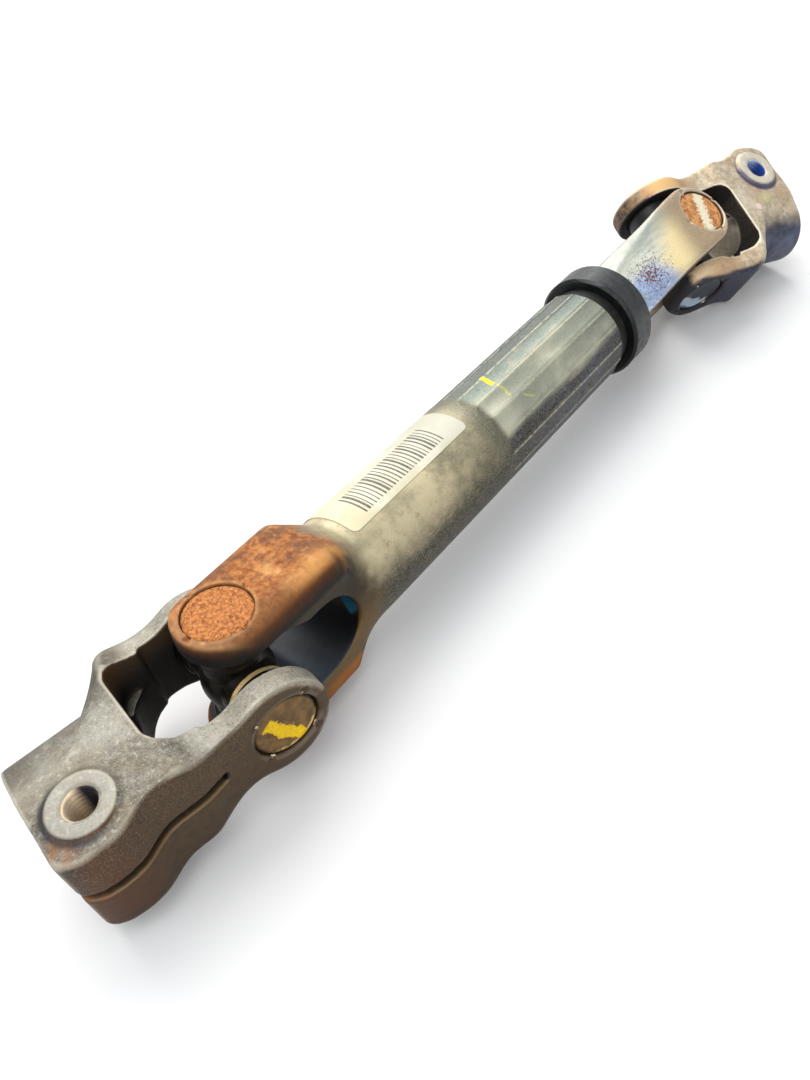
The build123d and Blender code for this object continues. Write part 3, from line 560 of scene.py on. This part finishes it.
# Painted shade: the front is a dark brown, partly its own colour and partly shade, darker low down
# and at the end corner, and orange with rust towards the end.
front = lean_y.rise(0.45, 0.75) * y.rise(11.0, 13.0)
brown = shade.mix(mottle.rise(0.3, 0.7), (58, 43, 25), (76, 59, 36))
brown = shade.mix((x + mottle * 16.0).rise(38.0, 54.0) * 0.7, brown, (78, 44, 20))
brown = shade.mix((z + mottle * 6.0).rise(-3.0, -11.0) * 0.45, brown, (44, 34, 24))
brown = shade.mix((x + z * 0.3 + mottle * 4.0).rise(50.0, 55.0) * 0.8, brown, (36, 24, 15))
brown = shade.mix(grain.rise(0.48, 0.66) * z.rise(-6.0, 8.0) * 0.45, brown, (136, 116, 86))
# Painted light: the slit's lower lip is painted paler where it faces up.
lip = z.rise(3.2, 1.8) * z.rise(-4.0, -2.0) * y.rise(9.0, 12.0)
front = front.maths("MAXIMUM", front, lip)
skin = shade.mix(front, skin, shade.mix(lip * lean_z.rise(0.2, 0.8) * 0.5, brown, (150, 124, 90)))
# Painted shade: faces turned downwards are painted darker.
skin = shade.mix(lean_z.rise(-0.2, -0.7) * 0.75, skin, (58, 46, 32))
corner = (x - 43.0).rise(0.0, 7.0) * (y - 15.0).rise(0.0, 6.0) * lean_z.rise(0.3, 0.7)
rust = corner * shade.noise(0.3, 5.0, 0.7, shift=(4.0, 2.0, 7.0)).rise(0.38, 0.6)
skin = shade.mix(rust * 0.75, skin, (138, 88, 54))
# Painted shade: the window walls and the ears' inner faces are near black low down and brown
# higher up, with rust by the window's end.
window = window_wall(x, y, lean_z)
wall = shade.mix(z.rise(2.0, 11.0), (14, 11, 8), (70, 54, 36))
wall = shade.mix(x.rise(18.0, 24.0) * z.rise(4.0, 11.0) * 0.6, wall, (104, 70, 40))
inner = abs(y).rise(15.6, 14.4) * x.rise(16.0, 14.0) * abs(lean_z).rise(0.85, 0.6)
skin = shade.mix(window.maths("MAXIMUM", window, inner), skin, wall)
reach = distance(x, z)
pin_rim = reach.rise(10.6, 9.4)
skin = shade.mix(pin_rim * abs(y).rise(16.0, 18.0), skin, (70, 54, 34))
# Painted light: the tapped hole is cream on its lit side and dark blue-grey on its shaded side,
# with some rust.
hole = boss.rise(3.9, 3.6)
tapped = shade.mix((x + y * 0.15).rise(40.8, 43.6), (34, 36, 48), (255, 238, 208))
hole_rust = (y - boss_y).rise(0.6, 2.4) * (x - boss_x).rise(1.5, -1.0)
tapped = shade.mix(hole_rust * 0.8, tapped, (158, 96, 62))
skin = shade.mix(hole, skin, tapped)
# Painted shade: the bore beyond the window is painted dark.
bore = distance(y, z)
skin = shade.mix(bore.rise(8.3, 7.9) * x.rise(24.0, 25.0), skin, (48, 38, 28))
# Rubbed edges with painted sheen on convex edges; concave creases are painted dark as shade.
open_edge = (1.0 - window) * (1.0 - lip) * (1.0 - pin_rim * 0.8) * (1.0 - hole)
skin = shade.mix(wear_and_painted_light.rise(0.4, 1.0) * open_edge * (0.15 + grain * 0.7), skin, (210, 203, 184))
skin = shade.mix(wear_and_painted_light.rise(-0.25, -0.8) * 0.6, skin, (62, 54, 44))
# Painted shade: the slit is painted near black.
slit = abs(z).rise(1.3, 1.05) * y.rise(2.0, 6.0) * x.rise(15.0, 16.0)
skin = shade.mix(slit, skin, (8, 7, 6))
roughness = 0.46 + mottle * 0.2 + rust * 0.2
metal = 0.38 - rust * 0.2 - front * 0.1
lower_forging = shade.finish(skin, roughness, metal, grain + mottle, 0.07)

lower_skin = forged_skin(
    "lower_clamp_skin", "lower_clamp_yoke", lower_clamp_place,
    pins=(0, 2), voxel=0.42, pit=0.05, flow=7,
)
lower_skin.data.materials.append(lower_forging)
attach(lower_skin, "lower_clamp")
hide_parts("lower_clamp_yoke")

upper_swing, upper_tilt = -23.29, -1.11
upper_clamp_place = fork_place @ turned("Z", upper_swing) @ turned("Y", upper_tilt)
shade = Shade("upper_forging", upper_clamp_place)
x, y, z = shade.x, shade.y, shade.z
lean_y, lean_z, wear_and_painted_light = shade.lean("Y"), shade.lean("Z"), shade.kept("wear_and_painted_light", 2)
mottle, blotch = shade.noise(0.45, 4.0, 0.65), shade.noise(0.1, 3.0, 0.6)
grain = shade.noise(2.6, 3.0, 0.7)
skin = shade.mix(mottle.rise(0.3, 0.7), (184, 166, 138), (240, 228, 202))
skin = shade.mix(grain.rise(0.34, 0.66) * 0.4, skin, (124, 104, 80))
# Painted light: the middle of the top is painted lighter, as lit.
light = (abs(y - 4.0) + blotch * 14.0).rise(17.0, 5.0) * x.rise(22.0, 27.0)
skin = shade.mix(light * 0.5, skin, (226, 214, 190))
skin = shade.mix(blotch.rise(0.42, 0.66) * 0.4, skin, (176, 136, 94))
ears = (x + blotch * 10.0).rise(24.0, 12.0)
ochre = shade.mix(y.rise(8.0, -8.0), (176, 124, 70), (206, 162, 116))
skin = shade.mix(ears * mottle.rise(0.3, 0.6) * 0.8, skin, ochre)
# Painted highlight: pale gold on top of the far ear, which goes near black towards its end.
far_ear = y.rise(12.5, 13.5) * x.rise(19.0, 8.0)
skin = shade.mix(far_ear * x.rise(10.0, 3.0) * x.rise(-8.0, -3.0) * 0.7, skin, (240, 196, 130))
skin = shade.mix(far_ear * (x + mottle * 8.0).rise(-3.0, -9.0), skin, (30, 26, 22))
# Painted highlight: cream on top of the near ear's end.
near_ear = y.rise(-15.0, -17.0) * x.rise(1.0, -7.0) * lean_z.rise(0.3, 0.7)
skin = shade.mix(near_ear * 0.7, skin, (226, 204, 166))
# Painted shade and reflection: the front faces are painted navy.
front = lean_y.rise(-0.5, -0.8) * y.rise(-11.0, -13.0)
front = front * (z - x.rise(10.0, 20.0) * 3.0).rise(11.0, 9.0)
navy = shade.mix(mottle.rise(0.3, 0.7), (26, 25, 40), (58, 58, 84))
skin = shade.mix(front, skin, navy)
# Painted shade and reflection: the barrel is painted dark blue on its near side.
barrel = (x + blotch * 6.0).rise(30.0, 36.0) * (0.0 - y - blotch * 6.0).rise(-1.0, 6.0)
skin = shade.mix(barrel, skin, shade.mix(blotch.rise(0.3, 0.7), (40, 44, 62), (92, 100, 124)))
spot = distance(x - 31.5, y - 0.4) + mottle * 2.0
top = z.rise(9.0, 12.0)
skin = shade.mix(spot.rise(2.6, 1.9) * top, skin, (246, 214, 206))
along, across = x - 37.2, y - 3.0
stain = (along * along * 0.3 + across * across) ** 0.5 + mottle * 3.0
skin = shade.mix(stain.rise(4.2, 2.6) * top * 0.45, skin, (206, 200, 132))
# Painted light: the bolt hole is blue-white on its lit side and dark blue on its shaded side.
hole = shade.mix((x - y * 0.4).rise(37.5, 33.0), (46, 76, 150), (206, 228, 255))
from_boss_x, from_boss_y = x - boss_x, y - boss_y
boss_square = from_boss_x * from_boss_x + from_boss_y * from_boss_y
skin = shade.mix(boss_square.rise(15.2, 13.0), skin, hole)
boss = boss_square ** 0.5
skin = shade.mix(boss_face(boss, lean_z) * 0.6, skin, (230, 226, 210))
shadow = boss.rise(6.4, 7.2) * boss.rise(9.4, 8.0) * (y + x * 0.5).rise(37.0, 30.0)
skin = shade.mix(shadow * 0.85, skin, (38, 48, 92))
# Painted shade: faces turned downwards are painted dark.
skin = shade.mix(lean_z.rise(-0.2, -0.7), skin, (34, 32, 38))
# Painted shade: the window walls and the ears' inner faces are painted near black low down.
window = window_wall(x, y, lean_z)
inner = abs(y).rise(15.8, 14.6) * x.rise(16.0, 14.0) * abs(lean_z).rise(0.9, 0.65)
window = window.maths("MAXIMUM", window, inner)
skin = shade.mix(window, skin, shade.mix(z.rise(3.0, 12.0), (8, 8, 12), (40, 34, 30)))
# Rubbed edges with painted sheen on convex edges; concave creases are painted dark blue as shade.
rubbed_and_sheen = wear_and_painted_light.rise(0.35, 1.0) * (1.0 - window) * (0.3 + mottle * 0.7)
skin = shade.mix(rubbed_and_sheen, skin, (236, 226, 202))
skin = shade.mix(wear_and_painted_light.rise(-0.25, -0.8) * 0.7, skin, (48, 52, 78))
reach = distance(x, z)
skin = shade.mix(reach.rise(10.6, 9.4) * abs(y).rise(16.5, 18.0), skin, (44, 40, 46))
# Painted shade: the near ear low down by the joint is painted near black.
under = y.rise(-13.0, -15.0) * (z + x + mottle * 6.0).rise(5.0, 0.0) * x.rise(1.0, -4.0)
skin = shade.mix(under, skin, (30, 27, 32))
roughness = 0.40 + mottle * 0.2 + ears * 0.1
upper_forging = shade.finish(skin, roughness, 0.40 - ears * 0.15, grain + mottle, 0.07)

upper_skin = forged_skin(
    "upper_clamp_skin", "upper_clamp_yoke", upper_clamp_place,
    pins=(0, 2), voxel=0.42, pit=0.05, flow=7,
)
upper_skin.data.materials.append(upper_forging)
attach(upper_skin, "upper_clamp")
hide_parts("upper_clamp_yoke")


# Seals of the lower cross: black rubber rings on the shoulders of its journals. The one behind
# the front ear is painted with a bright gold crescent round its rim, partly a gold colour and
# partly a painted highlight.
shade = Shade("gold_glint_seal_rubber", lower_clamp_place)
x, y, z = shade.x, shade.y, shade.z
dust = shade.noise(0.6, 4.0, 0.7).rise(0.4, 0.7)
reach = distance(x, z)
# Painted highlight: a bright gold crescent round the rim of the seal behind the front ear.
shell = y.rise(8.3, 8.5) * y.rise(10.3, 10.1) * reach.rise(6.6, 7.0)
colour = shade.mix(dust, (12, 12, 13), (40, 36, 30))
colour = shade.mix(shell, colour, shade.mix(dust, (248, 214, 150), (214, 170, 104)))
gold_glint_seal = shade.finish(colour, 0.62 - shell * 0.25, shell * 0.25, dust, 0.04)
dress("lower_cross_seals", gold_glint_seal)


# Bearing cups: deep-drawn steel cups pressed into the eight ears, with a rolled rim and a
# slightly sunk middle. The lower fork's are rusted to a coarse grain, the lower clamp's are
# gold with a smear of yellow marking paint and a painted glint low on the rim, and those of
# the upper joint are brighter, the upper clamp's painted dark with a blue-white glint as a
# reflection. The skirts of all of them are painted dark as shade.
def solid_mesh(name, shell, place):
    """The mesh of a closed shell that was drawn at place, with its faces outwards."""
    bmesh.ops.recalc_face_normals(shell, faces=shell.faces)
    shell.transform(place)
    mesh = bpy.data.meshes.new(name)
    shell.to_mesh(mesh)
    shell.free()
    return mesh


def pressed_cup(name, node, body, place, face, material, coarse=0.0):
    """A turned cup on local +Z of its place, open towards the cross, sizes in millimetres."""
    rounds, crease, grains_per_mm = 96, 50, 1.7
    hub, sunk, inside, mouth = 0.05, face - 0.16, face - 1.6, 10.0
    profile = [(hub, sunk)] + [(0.3 * step, sunk) for step in range(1, 18)]
    profile += [(5.5, face - 0.12), (5.8, face - 0.03), (6.3, face), (6.8, face - 0.03)]
    profile += [(7.3, face - 0.15), (7.65, face - 0.35), (7.88, face - 0.62)]
    profile += [(7.98, face - 1.0), (8.0, face - 2.0), (8.0, 10.25), (7.85, mouth)]
    profile += [(7.1, mouth), (7.0, 10.2), (7.0, inside), (hub, inside)]
    shell = bmesh.new()
    rings = []
    for reach, level in profile:
        ring = []
        for turn in range(rounds):
            a = 2 * pi * turn / rounds
            spot = Vector((reach * cos(a), reach * sin(a), level))
            if coarse and level > face - 0.7:
                grit = noise.fractal(spot * grains_per_mm, 0.9, 2.1, 4)
                spot.z -= coarse * (0.5 + 0.5 * grit)
            ring.append(shell.verts.new(spot * millimetre))
        rings.append(ring)
    for inner, outer in zip(rings, rings[1:]):
        for turn in range(rounds):
            after = (turn + 1) % rounds
            shell.faces.new((inner[turn], outer[turn], outer[after], inner[after]))
    for ring in (rings[0], rings[-1]):
        shell.faces.new(ring)
    mesh = solid_mesh(name, shell, place)
    mesh.polygons.foreach_set("use_smooth", [True] * len(mesh.polygons))
    mesh.set_sharp_from_angle(angle=radians(crease))
    mesh.materials.append(material)
    cup = linked(name, mesh)
    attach(cup, body)
    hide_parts(node)


short_fork_face, clamp_face, long_fork_face = 20.1, 19.4, 17.9
ear_up, ear_down = Matrix.Identity(4), turned("X", 180.0)
ear_left, ear_right = turned("X", -90.0), turned("X", 90.0)

shade = Shade("rusted_cup_steel", tube_place)
grain = shade.noise(1.1, 5.0, 0.75)
colour = shade.mix(grain.rise(0.34, 0.64), (122, 62, 26), (200, 126, 64))
crumbs = shade.noise(1.6, 3.0, 0.8, shift=(2.0, 2.0, 2.0)).rise(0.52, 0.7)
colour = shade.mix(crumbs * 0.8, colour, (226, 168, 98))
# Painted shade: the skirt down in the ear is painted dark.
skirt = abs(shade.z).rise(18.3, 17.6)
colour = shade.mix(skirt, colour, (30, 24, 18))
rusted = shade.finish(colour, 0.8 - skirt * 0.4, skirt * 0.5, grain, 0.3)
grain_depth = 0.22
for side, end, ear in (("upper", "top", ear_up), ("lower", "bottom", ear_down)):
    name, node = "lower_fork_cup_" + side, "lower_fork_cup_" + end
    place = tube_place @ ear
    pressed_cup(name, node, "outer_tube", place, short_fork_face, rusted, grain_depth)

shade = Shade("gold_cup_steel", lower_clamp_place)
x, y, z = shade.x, shade.y, shade.z
film = shade.noise(0.4, 4.0, 0.6)
colour = shade.mix(film.rise(0.3, 0.7), (84, 62, 32), (128, 98, 54))
reach = distance(x, z)
# Painted highlight: a gold glint low on the rim.
shine = reach.rise(6.2, 6.9) * reach.rise(7.7, 7.4) * (z + x * 0.3).rise(-3.0, -5.5)
rim_shade = reach.rise(6.8, 7.4) * (0.35 + x.rise(0.0, -4.0) * 0.6)
colour = shade.mix(rim_shade, colour, (22, 15, 9))
colour = shade.mix(shine * film.rise(0.35, 0.5), colour, (240, 210, 150))
paint_line = x * 0.844 - z * 0.536 + shade.noise(0.22, 3.0) * 7.0 - 4.8
ragged = shade.noise(1.2, 4.0, 0.7)
paint = abs(paint_line + (ragged - 0.5) * 2.2).rise(1.9, 1.5) * (z + x * 0.6).rise(6.4, 5.6)
paint = paint * y.rise(18.0, 18.6) * reach.rise(7.6, 7.2) * ragged.rise(0.28, 0.36)
yellow = shade.mix(ragged.rise(0.4, 0.7), (250, 200, 8), (255, 226, 40))
colour = shade.mix(paint, colour, yellow)
# Painted shade: the skirt and the inner side, in the gap by the cross, are painted dark.
skirt = y.rise(15.0, 14.4) * y.rise(0.0, 1.0)
colour = shade.mix(skirt, colour, (44, 34, 22))
colour = shade.mix(y.rise(0.0, -1.0), colour, (26, 20, 14))
roughness = 0.34 + film * 0.2 + paint * 0.1
gold = shade.finish(colour, roughness, 0.5 - paint * 0.5, film + paint, 0.12)
for side, end, ear in (("near", "front", ear_left), ("far", "back", ear_right)):
    name, node = "lower_clamp_cup_" + side, "lower_clamp_cup_" + end
    pressed_cup(name, node, "lower_clamp", lower_clamp_place @ ear, clamp_face, gold)

shade = Shade("streaked_cup_steel", fork_place)
x, y, z = shade.x, shade.y, shade.z
film = shade.noise(0.6, 4.0, 0.7)
colour = shade.mix(film.rise(0.3, 0.66), (150, 92, 48), (224, 160, 98))
ragged = shade.noise(0.9, 4.0, 0.7, shift=(2.0, 5.0, 1.0))
streak = abs(x * 0.717 - y * 0.555 - 0.5 + (ragged - 0.5) * 7.0).rise(2.0, 1.1)
streak = streak * film.rise(0.3, 0.42)
rings = distance(x, y) / 1.6
lathe_marks = rings.maths("FRACT", rings).rise(0.5, 0.8) * film.rise(0.45, 0.7)
colour = shade.mix(lathe_marks * 0.3, colour, (240, 196, 140))
colour = shade.mix(streak * z.rise(16.0, 17.0), colour, (250, 240, 208))
# Painted shade: the skirt is painted dark.
colour = shade.mix(abs(z).rise(16.4, 15.8), colour, (40, 32, 26))
roughness, metal = 0.40 - streak * 0.2, 0.2 + streak * 0.1
streaked = shade.finish(colour, roughness, metal, film + ragged, 0.2)
for side, end, ear in (("upper", "top", ear_up), ("lower", "bottom", ear_down)):
    name, node = "upper_fork_cup_" + side, "upper_fork_cup_" + end
    pressed_cup(name, node, "inner_shaft", fork_place @ ear, long_fork_face, streaked)

shade = Shade("bright_cup_steel", upper_clamp_place)
x, y, z = shade.x, shade.y, shade.z
film = shade.noise(0.35, 4.0, 0.6)
# Painted reflection: the cup is near black blue with a blue-white glint band and grey below it,
# and its skirt is painted dark as shade.
glint = z + x * 0.4 + film * 8.0
colour = shade.mix(glint.rise(2.5, 1.5) * glint.rise(-3.5, -2.5), (18, 24, 40), (196, 222, 250))
colour = shade.mix(glint.rise(-2.0, -3.5) * 0.5, colour, (86, 100, 118))
colour = shade.mix(abs(y).rise(16.0, 15.4), colour, (22, 20, 20))
bright_cup = shade.finish(colour, 0.35 + film * 0.2, 0.0, film, 0.08)
for side, end, ear in (("near", "front", ear_right), ("far", "back", ear_left)):
    name, node = "upper_clamp_cup_" + side, "upper_clamp_cup_" + end
    pressed_cup(name, node, "upper_clamp", upper_clamp_place @ ear, clamp_face, bright_cup)


# Thrust pads: small discs of amber nylon between the ends of the journals and the bottoms
# of the cups, where they take up the end play. They are hidden in use.
shade = Shade("amber_nylon", tube_place)
wet = shade.noise(0.7, 3.0)
colour = shade.mix(wet.rise(0.4, 0.6), (204, 190, 150), (184, 160, 108))
pad_nylon = shade.finish(colour, 0.4 + wet * 0.1, 0.0, wet, 0.02)
dress("lower_thrust_pads", pad_nylon)
dress("upper_thrust_pads", pad_nylon)


# Stake lips: steel of the ears punched over the rim of each cup in four places, so that it
# stays in. A node group sets one small rough lip on every marked point.
shade = Shade("punched_steel", tube_place)
rub = shade.noise(1.2, 3.0)
colour = shade.mix(rub.rise(0.4, 0.62), (120, 98, 66), (226, 214, 184))
punched = shade.finish(colour, 0.3 + rub * 0.2, 0.85, rub, 0.05)

lip_width, lip_length, lip_height = 0.00045, 0.00085, 0.00028
lips = bpy.data.node_groups.new("staked_lips", "GeometryNodeTree")
for name, kind in (("Geometry", "Geometry"), ("Lip Length", "Float"), ("Steel", "Material")):
    lips.interface.new_socket(name, in_out="INPUT", socket_type="NodeSocket" + kind)
lips.interface.new_socket("Geometry", in_out="OUTPUT", socket_type="NodeSocketGeometry")


def lip_node(kind, settings, links):
    made = lips.nodes.new(kind)
    for key, setting in settings.items():
        setattr(made, key, setting)
    for key, value in links.items():
        if hasattr(value, "is_output"):
            lips.links.new(value, made.inputs[key])
        else:
            made.inputs[key].default_value = value
    return made.outputs


given = lip_node("NodeGroupInput", {}, {})
ball = lip_node("GeometryNodeMeshIcoSphere", {}, {"Radius": 1.0, "Subdivisions": 4})
dents = lip_node("ShaderNodeTexNoise", {}, {"Scale": 2.2, "Detail": 2.0})
dented = lip_node("ShaderNodeVectorMath", {"operation": "SCALE"}, {0: dents[1], "Scale": 0.5})
moved = {"Geometry": ball[0], "Offset": dented[0]}
rough_ball = lip_node("GeometryNodeSetPosition", {}, moved)
size = {"X": lip_width, "Y": given["Lip Length"], "Z": lip_height}
lip_size = lip_node("ShaderNodeCombineXYZ", {}, size)
stored = {"data_type": "FLOAT_VECTOR"}
facing = lip_node("GeometryNodeInputNamedAttribute", stored, {"Name": "facing"})
facing_turn = lip_node("FunctionNodeEulerToRotation", {}, {"Euler": facing[0]})
spread_out = {"Points": given["Geometry"], "Instance": rough_ball[0]}
spread_out |= {"Rotation": facing_turn[0], "Scale": lip_size[0]}
placed = lip_node("GeometryNodeInstanceOnPoints", {}, spread_out)
whole = lip_node("GeometryNodeRealizeInstances", {}, {"Geometry": placed[0]})
steel = {"Geometry": whole[0], "Material": given["Steel"]}
painted = lip_node("GeometryNodeSetMaterial", {}, steel)
lip_node("NodeGroupOutput", {}, {"Geometry": painted[0]})


def staked(name, body, place, ears, face, first):
    """Four lips round the cup in each ear, the first at an angle in degrees."""
    lip_reach, lip_sink, lips_per_cup = 0.00805, 0.12, 4
    marks = []
    for ear in ears:
        for number in range(lips_per_cup):
            a = radians(first + 360 / lips_per_cup * number)
            level = (face - lip_sink) / 1000
            mark = Matrix.Translation((lip_reach * cos(a), lip_reach * sin(a), level))
            marks.append(place @ ear @ mark @ Matrix.Rotation(a, 4, "Z"))
    mesh = bpy.data.meshes.new(name + "_marks")
    mesh.from_pydata([mark.to_translation() for mark in marks], [], [])
    turns = mesh.attributes.new("facing", "FLOAT_VECTOR", "POINT")
    for index, mark in enumerate(marks):
        turns.data[index].vector = mark.to_euler()
    holder = linked(name + "_marks", mesh)
    setter = holder.modifiers.new("lips", "NODES")
    setter.node_group = lips
    inputs = {"Lip Length": lip_length, "Steel": punched}
    for item in lips.interface.items_tree:
        if item.in_out == "INPUT" and item.name in inputs:
            setter[item.identifier] = inputs[item.name]
    holder.update_tag()
    state = bpy.context.evaluated_depsgraph_get()
    solid = bpy.data.meshes.new_from_object(holder.evaluated_get(state))
    bpy.data.objects.remove(holder)
    solid.polygons.foreach_set("use_smooth", [True] * len(solid.polygons))
    piece = linked(name, solid)
    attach(piece, body)


crosswise, upright = (ear_left, ear_right), (ear_up, ear_down)
staked("lower_clamp_lips", "lower_clamp", lower_clamp_place, crosswise, clamp_face, 45.0)
staked("upper_fork_lips", "inner_shaft", fork_place, upright, long_fork_face, 0.0)
staked("upper_clamp_lips", "upper_clamp", upper_clamp_place, crosswise, clamp_face, 45.0)


# Pinch-bolt threads: the thread cut in the hole of each boss, made as a low steel ridge that
# winds down its wall. Each is painted pale where its hole is lit and dark where it is shaded,
# the upper one blue-white and dark blue, as painted light and reflection.
def thread(name, body, place, steel):
    """A ridge of triangular section wound down a boss's hole, sizes in millimetres."""
    rounds, pitch, hole_radius = 48, 1.25, 3.42
    bottom, length, ridge, flank = 1.5, 12.5, 0.14, 0.35
    shell = bmesh.new()
    last = None
    for step in range(int(rounds * length / pitch)):
        a = 2 * pi * step / rounds
        level = bottom + pitch * step / rounds
        row = []
        for height, lift in ((0.0, -flank), (ridge, 0.0), (0.0, flank)):
            reach = hole_radius - height
            spot = Vector((reach * cos(a) + boss_x, reach * sin(a) + boss_y, level + lift))
            row.append(shell.verts.new(spot * millimetre))
        if last:
            for here in range(3):
                there = (here + 1) % 3
                shell.faces.new((last[here], last[there], row[there], row[here]))
        else:
            shell.faces.new(row)
        last = row
    shell.faces.new(last)
    piece = linked(name, solid_mesh(name, shell, place))
    piece.data.materials.append(steel)
    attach(piece, body)


shade = Shade("cut_thread_steel", lower_clamp_place)
rub = shade.noise(0.5, 3.0)
x, y = shade.x, shade.y
# Painted light: cream on the lit side of the hole, dark blue-grey on the shaded side.
colour = shade.mix((x + y * 0.15).rise(40.8, 43.6), (34, 36, 48), (255, 238, 208))
hole_rust = (y - boss_y).rise(0.6, 2.4) * (x - boss_x).rise(1.5, -1.0)
colour = shade.mix(hole_rust * rub * 1.4, colour, (158, 96, 62))
cut_thread = shade.finish(colour, 0.4 + rub * 0.2, 0.6, rub, 0.05)
thread("lower_thread", "lower_clamp", lower_clamp_place, cut_thread)

shade = Shade("lit_and_shaded_thread_steel", upper_clamp_place)
rub = shade.noise(0.5, 3.0)
# Painted light: blue-white on the lit side of the hole, dark blue on the shaded side.
colour = shade.mix((shade.x - shade.y * 0.4).rise(37.5, 33.0), (46, 76, 150), (206, 228, 255))
lit_and_shaded_thread = shade.finish(colour, 0.3 + rub * 0.2, 0.8, rub, 0.05)
thread("upper_thread", "upper_clamp", upper_clamp_place, lit_and_shaded_thread)


# Studio: white paper under the shaft that throws a brownish light back up at it, a broad
# window lamp for the long soft shadow, two weaker lamps and a pale sky. The camera stands
# over the lower joint, as in the photograph.
paper_half, paper_gap = 3.0, 0.0004
lowest = min(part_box(name)[0][2] for name in nodes)
sheet = bmesh.new()
bmesh.ops.create_grid(sheet, x_segments=1, y_segments=1, size=paper_half)
sheet.transform(Matrix.Translation((0.1, 0.0, lowest - paper_gap)))
paper_mesh = bpy.data.meshes.new("paper_floor")
sheet.to_mesh(paper_mesh)
sheet.free()
floor = linked("paper_floor", paper_mesh)
shade = Shade("white_paper")
rays = ("Is Camera Ray", "Is Glossy Ray", "Is Transmission Ray")
seen = sum(shade.node("LightPath", {}, {}, ray) for ray in rays)
colour = shade.mix(seen, (112, 96, 76), (230, 230, 230))
paper_mesh.materials.append(shade.finish(colour, 0.95, 0.0, Specular_IOR_Level=0.0))

world = bpy.data.worlds.new("pale_sky")
bpy.context.scene.world = world
world.use_nodes = True
sky = world.node_tree.nodes["Background"]
sky.inputs["Color"].default_value = (0.88, 0.93, 1.0, 1.0)
sky.inputs["Strength"].default_value = 0.46


def soft_lamp(name, place, size, power, colour):
    """A square lamp aimed at the middle of the shaft."""
    middle = (0.12, 0.0, 0.0)
    data = bpy.data.lights.new(name, "AREA")
    data.shape = "SQUARE"
    data.size, data.energy, data.color = size, power, colour
    lamp = linked(name, data)
    aim = (Vector(place) - Vector(middle)).to_track_quat("Z", "Y")
    lamp.matrix_world = Matrix.Translation(place) @ aim.to_matrix().to_4x4()


warm_white, plain_white = (1.0, 0.98, 0.95), (1.0, 1.0, 1.0)
soft_lamp("window_lamp", (0.5, 0.64, 0.85), 1.3, 18.0, warm_white)
soft_lamp("fill_lamp", (-0.55, -0.75, 0.55), 0.9, 6.0, warm_white)
soft_lamp("ceiling_lamp", (-0.35, -0.05, 0.95), 0.8, 5.0, plain_white)

eye = bpy.data.cameras.new("photo_camera")
eye.lens, eye.sensor_width, eye.clip_start = 32.563, 36.0, 0.01
camera = linked("photo_camera", eye)
camera.matrix_world = Matrix(
    (
        (0.59738968, 0.60213598, -0.5296771, -0.038847),
        (-0.79444565, 0.35419365, -0.49335886, -0.135152),
        (-0.10946086, 0.71552716, 0.68995594, 0.169790),
        (0.0, 0.0, 0.0, 1.0),
    )
)
bpy.context.scene.camera = camera
bpy.context.scene.view_settings.view_transform = "Standard"
